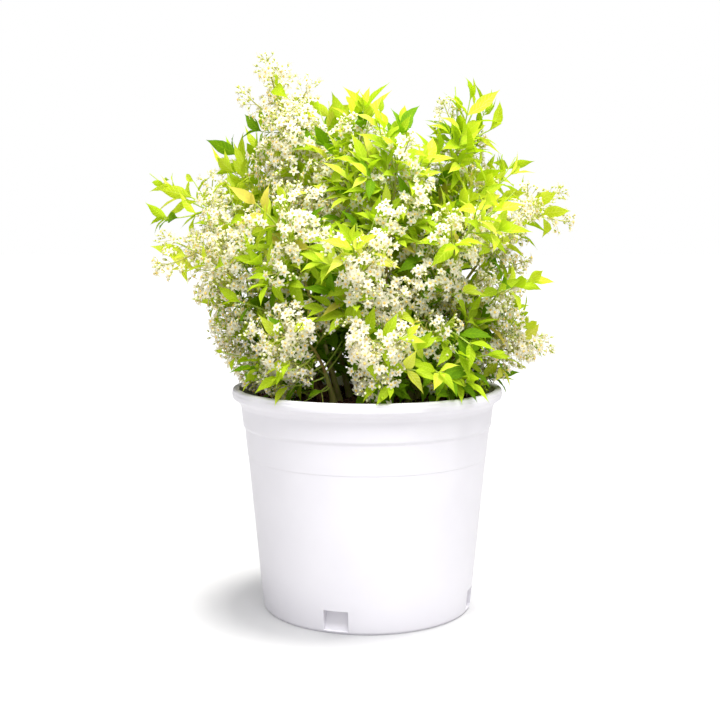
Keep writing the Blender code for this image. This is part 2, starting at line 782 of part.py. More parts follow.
def stem_points(mass, way):
    """Centre points and radii of the stem of a mass, which starts just clear of its cane."""
    start = mass.entry + GAP / way.length(0, 1)
    shares = [start, *node_shares(mass, way), 1.0]
    thinning = (STEM_TIP_RADIUS - CANE_TIP_RADIUS) / (1 - start)
    return [(way.point(share), CANE_TIP_RADIUS + thinning * (share - start)) for share in shares]


def keep_largest_body(mesh):
    """Drops loose scraps and fills sealed hollows: the body with the most points stays."""

    def change(shape):
        left = set(shape.verts)
        bodies = []
        while left:
            front = [left.pop()]
            body = set(front)
            while front:
                vertex = front.pop()
                near = {edge.other_vert(vertex) for edge in vertex.link_edges} & left
                left -= near
                body |= near
                front += near
            bodies.append(body)
        bodies.sort(key=len)
        for body in bodies[:-1]:
            bmesh.ops.delete(shape, geom=list(body), context="VERTS")

    edit_mesh(mesh, change)


def build_mass(mass, way, space, plant, material):
    """One mass of twigs, leaves and blossom, joined to its stem in one solid.

    The union is by MANIFOLD, because EXACT leaves a few edges open in some masses.
    """
    gathered = new_collection(mass.name + "_pieces")
    stem = tube(mass.name, stem_points(mass, way), plant, resolution=0)
    Growth(mass, way, space, stem.data, gathered).grow()
    union = stem.modifiers.new("union", "BOOLEAN")
    union.operation = "UNION"
    union.operand_type = "COLLECTION"
    union.collection = gathered
    union.solver = "MANIFOLD"
    apply_modifiers(stem)
    keep_largest_body(stem.data)
    stem.data.materials.clear()
    stem.data.materials.append(material)
    space.add_solid(stem.data)
    for piece in list(gathered.objects):
        bpy.data.objects.remove(piece, do_unlink=True)
    bpy.data.collections.remove(gathered)


def main():
    """Builds the plant in its pot."""
    clear_scene()
    plant = new_collection("potted_deutzia")
    cutters = new_collection("cutters")
    build_pot(plant, cutters)
    build_soil(plant, cutters)
    ways = {mass.name: Way(mass) for mass in MASSES}
    space = Space(ways)
    for grown in build_canes(ways, plant):
        space.add_solid(grown)
    foliage = principled("foliage", (0.42, 0.58, 0.05), 0.5)
    for mass in MASSES:
        build_mass(mass, ways[mass.name], space, plant, foliage)


main()
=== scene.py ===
"""The looks of a potted deutzia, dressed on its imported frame.

Metres, +Z up. The origin is the centre of the pot's flat underside, and the front faces -Y.
The crown grows on from the canes by the rule of the frame's own masses, carried to finer twigs,
with leaves in crossed pairs and panicles of white stars.
"""

from __future__ import annotations

import json
import logging
import math
import random
import sys
from dataclasses import dataclass, field
from enum import Enum
from itertools import product
from typing import Any, Iterator, NamedTuple, Sequence

import bmesh
import bpy
from mathutils import Euler, Matrix, Vector, noise
from mathutils.kdtree import KDTree

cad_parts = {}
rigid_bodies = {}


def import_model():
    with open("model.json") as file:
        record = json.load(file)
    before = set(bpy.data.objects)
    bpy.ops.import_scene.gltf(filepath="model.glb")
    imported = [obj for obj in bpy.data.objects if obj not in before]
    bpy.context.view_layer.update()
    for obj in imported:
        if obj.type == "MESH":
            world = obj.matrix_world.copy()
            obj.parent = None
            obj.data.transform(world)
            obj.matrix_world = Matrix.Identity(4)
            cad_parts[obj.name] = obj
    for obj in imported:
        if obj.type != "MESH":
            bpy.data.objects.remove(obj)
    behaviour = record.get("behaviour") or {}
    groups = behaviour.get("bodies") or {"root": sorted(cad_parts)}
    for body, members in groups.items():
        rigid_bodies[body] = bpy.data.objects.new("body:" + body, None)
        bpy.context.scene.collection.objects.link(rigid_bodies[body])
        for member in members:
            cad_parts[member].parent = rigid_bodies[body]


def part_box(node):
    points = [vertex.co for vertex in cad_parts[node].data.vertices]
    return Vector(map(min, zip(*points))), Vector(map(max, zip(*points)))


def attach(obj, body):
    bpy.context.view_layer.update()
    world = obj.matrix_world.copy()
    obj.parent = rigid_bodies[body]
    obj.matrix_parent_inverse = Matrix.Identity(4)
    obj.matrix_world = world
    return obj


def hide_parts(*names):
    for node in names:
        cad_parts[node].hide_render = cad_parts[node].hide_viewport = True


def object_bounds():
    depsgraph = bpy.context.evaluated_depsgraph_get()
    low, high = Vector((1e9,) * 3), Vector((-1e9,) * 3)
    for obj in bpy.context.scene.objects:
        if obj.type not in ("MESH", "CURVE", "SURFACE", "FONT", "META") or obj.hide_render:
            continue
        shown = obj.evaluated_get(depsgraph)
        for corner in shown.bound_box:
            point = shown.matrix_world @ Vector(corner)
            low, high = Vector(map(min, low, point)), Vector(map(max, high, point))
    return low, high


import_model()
CAD_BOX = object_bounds()

logger = logging.getLogger("potted_deutzia")

ROOT = "root"
UP = Vector((0.0, 0.0, 1.0))
NEARLY_UPRIGHT = 0.05
LEAF_KINDS = 8
STAR_KINDS = 4
SHOOT_SIDES = 5
STALK_SIDES = 3
LAST_LITTER_PICK = 7
MOST_PLACES = 2600
SPENT_ATTRIBUTES = ("turn", "pick", "size", "radius")

Collection = bpy.types.Collection
Dice = random.Random
Mesh = bpy.types.Mesh
Object = bpy.types.Object
Socket = bpy.types.NodeSocket
Pair = tuple[float, float]
Triple = tuple[float, float, float]
Colour = Triple
Face = tuple[int, ...]


# Shader trees


class Nodes:
    """A node tree in the making."""

    def __init__(self, tree: bpy.types.NodeTree, prefix: str) -> None:
        """Starts on a tree."""
        self.tree, self.prefix = tree, prefix

    def feed(self, socket: Socket, value: Any) -> None:
        """Gives an input what it takes.

        Args:
            socket: The input.
            value: A value, or another node's output.
        """
        if isinstance(value, Socket):
            self.tree.links.new(value, socket)
        else:
            socket.default_value = value

    def add(self, kind: str, settings: dict[str, Any] | None = None, **feeds: Any) -> bpy.types.Node:
        """Adds a node.

        Args:
            kind: The node's type, without the prefix.
            settings: The node's own properties, set before its inputs.
            feeds: What each input gets: a value, or another node's output.

        Returns:
            The new node.
        """
        node = self.tree.nodes.new(self.prefix + kind)
        for name, value in (settings or {}).items():
            setattr(node, name, value)
        for name, value in feeds.items():
            self.feed(next(s for s in node.inputs if s.name == name.replace("_", " ") and s.enabled), value)
        return node

    def calculate(self, operation: str, first: Any, second: Any = None) -> Socket:
        """The result of a Math node.

        Args:
            operation: What it does.
            first: Its first value, or another node's output.
            second: The second, if the operation takes two.

        Returns:
            The result.
        """
        node = self.tree.nodes.new("ShaderNodeMath")
        node.operation = operation
        self.feed(node.inputs[0], first)
        if second is not None:
            self.feed(node.inputs[1], second)
        return node.outputs["Value"]


class Recipe(Nodes):
    """A material in the making: a Principled shader and the nodes that feed it."""

    def __init__(self, name: str, roughness: float) -> None:
        """Starts a material of this name.

        Args:
            name: The material's name.
            roughness: The roughness of the whole surface.
        """
        self.material = bpy.data.materials.new(name)
        self.material.use_nodes = True
        super().__init__(self.material.node_tree, "ShaderNode")
        self.shader = self.tree.nodes["Principled BSDF"]
        self.shader.inputs["Roughness"].default_value = roughness

    def place(self) -> Socket:
        """The Object coordinates."""
        return self.add("TexCoord").outputs["Object"]

    def attribute(self, name: str) -> Socket:
        """The value of a named attribute of the mesh."""
        return self.add("Attribute", {"attribute_name": name}).outputs["Fac"]

    def noise(self, vector: Socket, scale: float, detail: float = 3.0) -> Socket:
        """A noise value on these coordinates."""
        return self.add("TexNoise", Vector=vector, Scale=scale, Detail=detail).outputs["Fac"]

    def stretched(self, vector: Socket, scale: Sequence[float]) -> Socket:
        """The coordinates, scaled along each axis."""
        return self.add("Mapping", Vector=vector, Scale=tuple(scale)).outputs["Vector"]

    def ramp(self, value: Socket, low: float, high: float) -> Socket:
        """A value stretched between two limits, and clipped there."""
        return self.add("MapRange", Value=value, From_Min=low, From_Max=high).outputs["Result"]

    def mix(self, share: Any, first: Any, second: Any) -> Socket:
        """A blend of two colours."""
        a, b = (colour if isinstance(colour, Socket) else (*colour, 1.0) for colour in (first, second))
        return self.add("Mix", {"data_type": "RGBA"}, Factor=share, A=a, B=b).outputs[2]

    def colour(self, value: Any) -> None:
        """Sets the base colour."""
        self.feed(self.shader.inputs["Base Color"], value)

    def gloss(self, level: float) -> None:
        """Sets how strongly the surface mirrors."""
        self.shader.inputs["Specular IOR Level"].default_value = level

    def bump(self, height: Socket, depth: float, strength: float) -> None:
        """Raises the surface by a height field."""
        node = self.add("Bump", Height=height, Distance=depth, Strength=strength)
        self.feed(self.shader.inputs["Normal"], node.outputs["Normal"])

    def let_light_through(self, colour: Colour, share: float) -> None:
        """Mixes in a translucent shader, as thin leaf and petal have.

        Args:
            colour: The colour of the light that comes through.
            share: How much of the surface it makes up.
        """
        glow = self.add("BsdfTranslucent", Color=(*colour, 1.0))
        blend = self.add("MixShader", Fac=share)
        self.tree.links.new(self.shader.outputs["BSDF"], blend.inputs[1])
        self.tree.links.new(glow.outputs["BSDF"], blend.inputs[2])
        self.tree.links.new(blend.outputs["Shader"], self.tree.nodes["Material Output"].inputs["Surface"])


@dataclass(frozen=True)
class PotPlastic:
    """Smooth white moulded plastic, with a faint lilac cast and a soft sheen."""

    slot: str = "pot_plastic"
    body: Colour = (0.76, 0.745, 0.785)
    cloud: Colour = (0.79, 0.775, 0.815)
    clouds_to_metre: float = 14.0
    cloud_edges: Pair = (0.35, 0.65)
    grains_to_metre: float = 900.0
    grain_detail: float = 2.0
    grain_depth: float = 0.0001
    grain_strength: float = 0.25
    roughness: float = 0.42
    gloss: float = 0.25

    def material(self) -> bpy.types.Material:
        """The finish as a material.

        Returns:
            The material.
        """
        made = Recipe(self.slot, self.roughness)
        place = made.place()
        clouds = made.ramp(made.noise(place, self.clouds_to_metre), *self.cloud_edges)
        made.colour(made.mix(clouds, self.body, self.cloud))
        grain = made.noise(place, self.grains_to_metre, self.grain_detail)
        made.bump(grain, self.grain_depth, self.grain_strength)
        made.gloss(self.gloss)
        return made.material


@dataclass(frozen=True)
class SoilMix:
    """Damp potting mix of composted bark, dark, with redder crumbs."""

    name: str
    dark: Colour
    light: Colour
    slot: str = "soil"
    roughness: float = 0.92
    crumbs_to_metre: float = 260.0
    crumb_edges: Pair = (0.40, 0.66)
    grains_to_metre: float = 700.0
    grain_depth: float = 0.0012
    grain_strength: float = 0.8

    def material(self) -> bpy.types.Material:
        """The finish as a material.

        Returns:
            The material.
        """
        made = Recipe(self.name, self.roughness)
        place = made.place()
        crumbs = made.ramp(made.noise(place, self.crumbs_to_metre), *self.crumb_edges)
        made.colour(made.mix(crumbs, self.dark, self.light))
        made.bump(made.noise(place, self.grains_to_metre), self.grain_depth, self.grain_strength)
        return made.material


@dataclass(frozen=True)
class BarkSkin:
    """Thin bark that turns from the young wood's colour to the old wood's with age."""

    name: str
    young: Colour
    old: Colour
    streak: Colour
    slot: str = "bark"
    roughness: float = 0.72
    stretch: Triple = (1.0, 1.0, 0.16)
    streaks_to_metre: float = 900.0
    streak_edges: Pair = (0.52, 0.72)
    ridges_to_metre: float = 1500.0
    ridge_depth: float = 0.0005
    ridge_strength: float = 0.6

    def material(self) -> bpy.types.Material:
        """The finish as a material.

        Returns:
            The material.
        """
        made = Recipe(self.name, self.roughness)
        skin = made.mix(made.attribute("age"), self.young, self.old)
        place = made.stretched(made.place(), self.stretch)
        streaks = made.ramp(made.noise(place, self.streaks_to_metre), *self.streak_edges)
        made.colour(made.mix(streaks, skin, self.streak))
        made.bump(made.noise(place, self.ridges_to_metre), self.ridge_depth, self.ridge_strength)
        return made.material


@dataclass(frozen=True)
class LeafSkin:
    """A thin toothed leaf: its tint, a paler rib and side veins, and the light that comes through."""

    name: str
    blade: Colour
    rib: Colour
    glow: Colour
    slot: str = "foliage"
    roughness: float = 0.60
    gloss: float = 0.06
    glow_share: float = 0.36
    deep_tone: float = 0.80
    clouds_to_metre: float = 60.0
    cloud_edges: Pair = (0.35, 0.70)
    cloud_share: float = 0.35
    rib_edges: Pair = (0.045, 0.015)
    veins_to_the_leaf: float = 9.0
    vein_slant: float = -0.30
    vein_edges: Pair = (0.80, 1.0)
    vein_share: float = 0.75
    vein_depth: float = 0.0004
    vein_strength: float = 0.35

    def material(self) -> bpy.types.Material:
        """The finish as a material.

        Returns:
            The material.
        """
        made = Recipe(self.name, self.roughness)
        uv = made.add("SeparateXYZ", Vector=made.add("UVMap").outputs["UV"])
        off_rib = made.calculate("ABSOLUTE", made.calculate("SUBTRACT", uv.outputs["X"], 0.5))
        lines = self.vein_lines(made, uv.outputs["Y"], off_rib)
        veined = made.calculate("MAXIMUM", lines, made.ramp(off_rib, *self.rib_edges))
        deep = [self.deep_tone * c for c in self.blade]
        shade = made.mix(made.attribute("tone"), self.blade, deep)
        clouds = made.ramp(made.noise(made.place(), self.clouds_to_metre), *self.cloud_edges)
        mottled = made.mix(made.calculate("MULTIPLY", clouds, self.cloud_share), shade, self.rib)
        made.colour(made.mix(made.calculate("MULTIPLY", veined, self.vein_share), mottled, self.rib))
        made.bump(veined, self.vein_depth, self.vein_strength)
        made.gloss(self.gloss)
        made.let_light_through(self.glow, self.glow_share)
        return made.material

    def vein_lines(self, made: Recipe, along: Socket, off_rib: Socket) -> Socket:
        """Side veins that leave the rib slanting towards the tip.

        Args:
            made: The material in the making.
            along: The share of the leaf's length.
            off_rib: The distance from the rib, from 0 to a half.

        Returns:
            1 on a vein and 0 between two.
        """
        slanted = made.calculate("ADD", along, made.calculate("MULTIPLY", off_rib, self.vein_slant))
        waves = made.calculate("MULTIPLY", slanted, self.veins_to_the_leaf * math.tau)
        return made.ramp(made.calculate("COSINE", waves), *self.vein_edges)


@dataclass(frozen=True)
class ThinSkin:
    """A small soft part, such as a petal, a sepal or an anther, with a mottle and some light through it."""

    name: str
    body: Colour
    cloud: Colour
    glow: Colour
    slot: str = "blossom"
    roughness: float = 0.55
    gloss: float = 0.25
    glow_share: float = 0.25
    clouds_to_metre: float = 420.0
    cloud_edges: Pair = (0.35, 0.70)

    def material(self) -> bpy.types.Material:
        """The finish as a material.

        Returns:
            The material.
        """
        made = Recipe(self.name, self.roughness)
        clouds = made.ramp(made.noise(made.place(), self.clouds_to_metre), *self.cloud_edges)
        made.colour(made.mix(clouds, self.body, self.cloud))
        made.gloss(self.gloss)
        made.let_light_through(self.glow, self.glow_share)
        return made.material


class Tint(Enum):
    """The colours that the leaves are given, dealt out by spray: partly their own, partly painted light and
    shade.
    """

    # DEEP, MID and LIME are darker and paler copies of one leaf green, dealt by the light a place gets:
    # painted shade deep inside and low down, painted light high up and at the edge. YOUNG and TINGED are the
    # real colours of young and turning leaves.
    DEEP = LeafSkin("leaf_deep", (0.110, 0.240, 0.004), (0.24, 0.40, 0.01), (0.18, 0.40, 0.003))
    MID = LeafSkin("leaf_mid", (0.370, 0.530, 0.008), (0.58, 0.72, 0.06), (0.52, 0.75, 0.006))
    LIME = LeafSkin("leaf_lime", (0.555, 0.690, 0.018), (0.76, 0.83, 0.16), (0.68, 0.85, 0.015))
    YOUNG = LeafSkin("leaf_young", (0.700, 0.745, 0.055), (0.86, 0.87, 0.26), (0.82, 0.86, 0.05))
    TINGED = LeafSkin("leaf_tinged", (0.660, 0.610, 0.080), (0.56, 0.40, 0.10), (0.76, 0.70, 0.10))

    @classmethod
    def in_light(cls, light: float, dice: Dice) -> Tint:
        """The tint of a pair of leaves: the more light, the yellower and paler, which paints light and shade
        into the foliage.

        Args:
            light: How much sun they get and how young they are, from 0 up.
            dice: The twig's dice.

        Returns:
            The tint.
        """
        draw = dice.random()
        seen = light + dice.gauss(0, LEAF.tint_sway)
        if draw < LEAF.tinged_below:
            return cls.TINGED
        if draw < LEAF.young_below and seen > LEAF.young_light:
            return cls.YOUNG
        if seen > LEAF.lime_light:
            return cls.LIME
        return cls.MID if seen > LEAF.mid_light else cls.DEEP


class Wood(Enum):
    """The kinds of stem, by age."""

    CANE = BarkSkin("cane_bark", (0.34, 0.42, 0.07), (0.21, 0.085, 0.045), (0.38, 0.24, 0.14))
    SHOOT = BarkSkin("shoot_bark", (0.36, 0.52, 0.05), (0.28, 0.12, 0.05), (0.52, 0.48, 0.12))
    STALK = BarkSkin("flower_stalk", (0.56, 0.58, 0.12), (0.44, 0.26, 0.10), (0.66, 0.58, 0.22))


PETAL = ThinSkin("petal_white", (0.96, 0.93, 0.84), (0.95, 0.91, 0.80), (1.00, 0.94, 0.76), glow_share=0.50)
ANTHER = ThinSkin("anther_gold", (0.90, 0.62, 0.10), (0.95, 0.78, 0.26), (0.92, 0.70, 0.14), glow_share=0.12)
SEPAL = ThinSkin("sepal_green", (0.46, 0.54, 0.05), (0.62, 0.64, 0.12), (0.66, 0.74, 0.06))
BUD = ThinSkin("bud_cream", (0.90, 0.88, 0.66), (0.84, 0.84, 0.48), (0.94, 0.92, 0.66))


# Geometry Nodes


class Scatter(Nodes):
    """A Geometry Nodes tree in the making, with named inputs for its sizes."""

    def __init__(self, name: str, inputs: dict[str, str]) -> None:
        """Starts a tree that takes a geometry and gives one.

        Args:
            name: The tree's name.
            inputs: Each further input's name, and its socket type without the NodeSocket prefix.
        """
        super().__init__(bpy.data.node_groups.new(name, "GeometryNodeTree"), "")
        self.name = name
        face = self.tree.interface
        face.new_socket("Geometry", in_out="INPUT", socket_type="NodeSocketGeometry")
        face.new_socket("Geometry", in_out="OUTPUT", socket_type="NodeSocketGeometry")
        self.identifiers = {}
        for label, kind in inputs.items():
            socket = face.new_socket(label, in_out="INPUT", socket_type="NodeSocket" + kind)
            self.identifiers[label] = socket.identifier
        self.entry = self.tree.nodes.new("NodeGroupInput")
        self.exit = self.tree.nodes.new("NodeGroupOutput")

    def given(self, name: str) -> Socket:
        """What an input of the tree holds."""
        return self.entry.outputs[name]

    def attribute(self, name: str, kind: str) -> Socket:
        """A named attribute of the points, of this data type."""
        node = self.add("GeometryNodeInputNamedAttribute", {"data_type": kind}, Name=name)
        return next(s for s in node.outputs if s.name == "Attribute" and s.enabled)

    def finish(self, geometry: Socket) -> None:
        """Ends the tree: instances made real, shaded smooth and given the material.

        Args:
            geometry: What is to be given.
        """
        real = self.add("GeometryNodeRealizeInstances", Geometry=geometry)
        smooth = self.add("GeometryNodeSetShadeSmooth", Geometry=real.outputs["Geometry"])
        dressed = self.add(
            "GeometryNodeSetMaterial", Geometry=smooth.outputs["Geometry"], Material=self.given("Material")
        )
        self.tree.links.new(dressed.outputs["Geometry"], self.exit.inputs["Geometry"])

    def set_shapes(self, points: Socket, pick: Socket, turn: Socket, size: Socket) -> None:
        """Ends a tree that has an input named Shapes, with one of them on each point.

        Args:
            points: The points.
            pick: Which shape each point gets.
            turn: How it is turned.
            size: How large it is.
        """
        shapes = self.add(
            "GeometryNodeCollectionInfo",
            Collection=self.given("Shapes"),
            Separate_Children=True,
            Reset_Children=True,
        )
        placed = self.add(
            "GeometryNodeInstanceOnPoints",
            Points=points,
            Instance=shapes.outputs["Instances"],
            Pick_Instance=True,
            Instance_Index=pick,
            Rotation=turn,
            Scale=size,
        )
        self.finish(placed.outputs["Instances"])

    def run(self, carrier: Object, values: dict[str, Any]) -> Object:
        """Runs the tree on an object and gives what it makes as a plain mesh.

        Args:
            carrier: The object that holds the points or paths. It is removed.
            values: What each named input gets.

        Returns:
            A new object at the origin, with the carrier's name.
        """
        name = carrier.name
        modifier = carrier.modifiers.new(self.name, "NODES")
        modifier.node_group = self.tree
        for label, value in values.items():
            modifier[self.identifiers[label]] = value
        mesh = evaluated_mesh(carrier)
        bpy.data.objects.remove(carrier, do_unlink=True)
        for spent in SPENT_ATTRIBUTES:
            if spent in mesh.attributes:
                mesh.attributes.remove(mesh.attributes[spent])
        mesh.name = name
        return linked(name, mesh)


def linked(name: str, data: bpy.types.ID) -> Object:
    """Makes an object and links it to the scene.

    Args:
        name: Its name.
        data: Its mesh, lamp or camera.

    Returns:
        The object.
    """
    made = bpy.data.objects.new(name, data)
    bpy.context.scene.collection.objects.link(made)
    return made


def evaluated_mesh(carrier: Object) -> Mesh:
    """What an object's modifiers make of it.

    Args:
        carrier: The object. Its modifiers are removed.

    Returns:
        The result as a plain mesh.
    """
    graph = bpy.context.evaluated_depsgraph_get()
    mesh = bpy.data.meshes.new_from_object(carrier.evaluated_get(graph))
    carrier.modifiers.clear()
    return mesh


def mesh_from(name: str, shape: bmesh.types.BMesh) -> Mesh:
    """A mesh of a bmesh, which is freed.

    Args:
        name: The mesh's name.
        shape: The bmesh.

    Returns:
        The mesh.
    """
    mesh = bpy.data.meshes.new(name)
    shape.to_mesh(mesh)
    shape.free()
    return mesh


def group(name: str, members: Sequence[Object]) -> Collection:
    """Makes a collection outside the scene.

    Args:
        name: Its name.
        members: Its objects.

    Returns:
        The collection.
    """
    made = bpy.data.collections.new(name)
    for member in members:
        made.objects.link(member)
    return made


def discard(shapes: Collection) -> None:
    """Removes a collection and the objects in it.

    Args:
        shapes: The collection.
    """
    for made in list(shapes.objects):
        bpy.data.objects.remove(made, do_unlink=True)
    bpy.data.collections.remove(shapes)


def place_tree() -> Scatter:
    """The tree that sets one of a few shapes on each point, turned and sized by the point's attributes.

    Returns:
        The tree.
    """
    made = Scatter("set_on_points", {"Shapes": "Collection", "Material": "Material", "Size": "Float"})
    turn = made.add("FunctionNodeEulerToRotation", Euler=made.attribute("turn", "FLOAT_VECTOR"))
    size = made.calculate("MULTIPLY", made.attribute("size", "FLOAT"), made.given("Size"))
    pick = made.attribute("pick", "INT")
    made.set_shapes(made.given("Geometry"), pick, turn.outputs["Rotation"], size)
    return made


def tube_tree() -> Scatter:
    """The tree that makes tapering tubes along the paths of a mesh of edges.

    Returns:
        The tree.
    """
    made = Scatter("tubes_on_paths", {"Sides": "Int", "Material": "Material"})
    paths = made.add("GeometryNodeMeshToCurve", Mesh=made.given("Geometry"))
    ring = made.add("GeometryNodeCurvePrimitiveCircle", Resolution=made.given("Sides"), Radius=1.0)
    tubes = made.add(
        "GeometryNodeCurveToMesh",
        Curve=paths.outputs["Curve"],
        Profile_Curve=ring.outputs["Curve"],
        Scale=made.attribute("radius", "FLOAT"),
        Fill_Caps=True,
    )
    made.finish(tubes.outputs["Mesh"])
    return made


def litter_tree() -> Scatter:
    """The tree that strews shapes over a surface, each turned and sized at random.

    Returns:
        The tree.
    """
    made = Scatter(
        "strewn",
        {
            "Shapes": "Collection",
            "Material": "Material",
            "Density": "Float",
            "Least": "Float",
            "Most": "Float",
            "Seed": "Int",
        },
    )
    seed = made.given("Seed")
    points = made.add(
        "GeometryNodeDistributePointsOnFaces",
        Mesh=made.given("Geometry"),
        Density=made.given("Density"),
        Seed=seed,
    )
    draw = "FunctionNodeRandomValue"
    turn = made.add(draw, {"data_type": "FLOAT_VECTOR"}, Max=(math.tau,) * 3, Seed=seed)
    size = made.add(draw, {"data_type": "FLOAT"}, Min=made.given("Least"), Max=made.given("Most"), Seed=seed)
    pick = made.add(draw, {"data_type": "INT"}, Min=0, Max=LAST_LITTER_PICK, Seed=seed)
    made.set_shapes(points.outputs["Points"], pick.outputs[2], turn.outputs[0], size.outputs[1])
    return made


# Small shapes, each of unit size, that the trees repeat


def closed_mesh(name: str, points: Sequence[Sequence[float]], faces: Sequence[Sequence[int]]) -> Mesh:
    """A mesh with its faces turned outwards.

    Args:
        name: The mesh's name.
        points: Its points.
        faces: The points of each face.

    Returns:
        The mesh.
    """
    mesh = bpy.data.meshes.new(name)
    mesh.from_pydata([tuple(p) for p in points], [], [tuple(f) for f in faces])
    shape = bmesh.new()
    shape.from_mesh(mesh)
    bmesh.ops.recalc_face_normals(shape, faces=shape.faces)
    shape.to_mesh(mesh)
    shape.free()
    return mesh


def turned_rings(rings: Sequence[Pair], sides: int, fluted: float = 0.0) -> tuple[list, list]:
    """Points and faces of a small turned body with a closed end at each pole.

    Args:
        rings: The radius and height of each ring, with a radius of 0 at both ends.
        sides: How many sides it has.
        fluted: How far every other side is drawn in, as a share of the radius.

    Returns:
        The points and the faces.
    """
    points: list[Triple] = [(0.0, 0.0, rings[0][1])]
    for radius, height in rings[1:-1]:
        for side in range(sides):
            angle = math.tau * side / sides
            drawn = radius * (1 - fluted * (side % 2))
            points.append((drawn * math.cos(angle), drawn * math.sin(angle), height))
    points.append((0.0, 0.0, rings[-1][1]))
    last = len(points) - 1
    faces: list[Face] = []
    for side in range(sides):
        after = (side + 1) % sides
        faces.append((0, 1 + after, 1 + side))
        for ring in range(len(rings) - 3):
            low, high = 1 + ring * sides, 1 + (ring + 1) * sides
            faces.append((low + side, low + after, high + after, high + side))
        top = 1 + (len(rings) - 3) * sides
        faces.append((top + side, top + after, last))
    return points, faces


@dataclass(frozen=True)
class LeafBlade:
    """One leaf of unit length along X: a short stalk, and a blade drawn out to a long tip."""

    arch: float
    fold: float
    twist: float
    ripple: float
    width: float = 0.37
    stalk: float = 0.06
    stalk_width: float = 0.032
    rise: float = 1.0
    fall: float = 1.8
    tooth: float = 0.02
    level_at: float = 0.25
    ripples: int = 3
    steps: int = 10

    def half_width(self, along: float) -> float:
        """Half the leaf's width.

        Args:
            along: The share of its length.

        Returns:
            The distance from its rib to its edge.
        """
        blade = max(0.0, along - self.stalk) / (1 - self.stalk)
        widest = self.rise / (self.rise + self.fall)
        peak = widest**self.rise * (1 - widest) ** self.fall
        body = self.width / 2 * blade**self.rise * (1 - blade) ** self.fall / peak
        return max(body, self.stalk_width / 2 * (1 - along))

    def mesh(self, name: str) -> Mesh:
        """The leaf as an open mesh with a UV map: U across, V along.

        Args:
            name: The mesh's name.

        Returns:
            The mesh.
        """
        points: list[Vector] = []
        spots: list[Pair] = []
        rib = Vector((0.0, 0.0, 0.0))
        for step in range(self.steps + 1):
            along = step / self.steps
            pitch = Matrix.Rotation(self.arch * (along - self.level_at), 3, "Y")
            if step:
                rib = rib + pitch @ Vector((1.0 / self.steps, 0.0, 0.0))
            half = self.half_width(along) * (1 + self.tooth * (1 if step % 2 else -1))
            roll = Matrix.Rotation(self.twist * along, 3, "X")
            wave = self.ripple * math.sin(along * self.ripples * math.tau)
            for side in (-1, 0, 1):
                edge = Vector((0.0, side * half, abs(side) * half * (self.fold + side * wave)))
                points.append(rib + pitch @ (roll @ edge))
                spots.append((0.5 + 0.5 * side, along))
        faces = []
        for step in range(self.steps):
            low, high = 3 * step, 3 * (step + 1)
            faces += [(low, high, high + 1, low + 1), (low + 1, high + 1, high + 2, low + 2)]
        mesh = bpy.data.meshes.new(name)
        mesh.from_pydata([tuple(p) for p in points], [], faces)
        uv = mesh.uv_layers.new(name="UVMap")
        for loop in mesh.loops:
            uv.data[loop.index].uv = spots[loop.vertex_index]
        return mesh


@dataclass(frozen=True)
class StarPetals:
    """Five pointed petals of unit length round Z, cupped at the foot and spread at the tip."""

    cup: float
    curl: float
    petals: int = 5
    widths: tuple[float, ...] = (0.10, 0.25, 0.21, 0.0)
    shares: tuple[float, ...] = (0.05, 0.36, 0.70, 1.0)
    crease: float = 0.22

    def mesh(self, name: str) -> Mesh:
        """The petals as an open mesh.

        Args:
            name: The mesh's name.

        Returns:
            The mesh.
        """
        points: list[Triple] = []
        faces: list[Face] = []
        for petal in range(self.petals):
            turn = Matrix.Rotation(math.tau * petal / self.petals, 3, "Z")
            start = len(points)
            reach, height, before = 0.0, 0.0, 0.0
            for share, half in zip(self.shares, self.widths):
                lean = self.cup * (1 - share) - self.curl * share
                reach += (share - before) * math.cos(lean)
                height += (share - before) * math.sin(lean)
                before = share
                sides = (-1, 0, 1) if half else (0,)
                for side in sides:
                    lift = abs(side) * half * self.crease
                    points.append(tuple(turn @ Vector((reach, side * half, height + lift))))
            for row in (start, start + 3):
                faces += [(row, row + 3, row + 4, row + 1), (row + 1, row + 4, row + 5, row + 2)]
            tip = start + 9
            faces += [(start + 6, tip, start + 7), (start + 7, tip, start + 8)]
        mesh = bpy.data.meshes.new(name)
        mesh.from_pydata(points, [], faces)
        return mesh


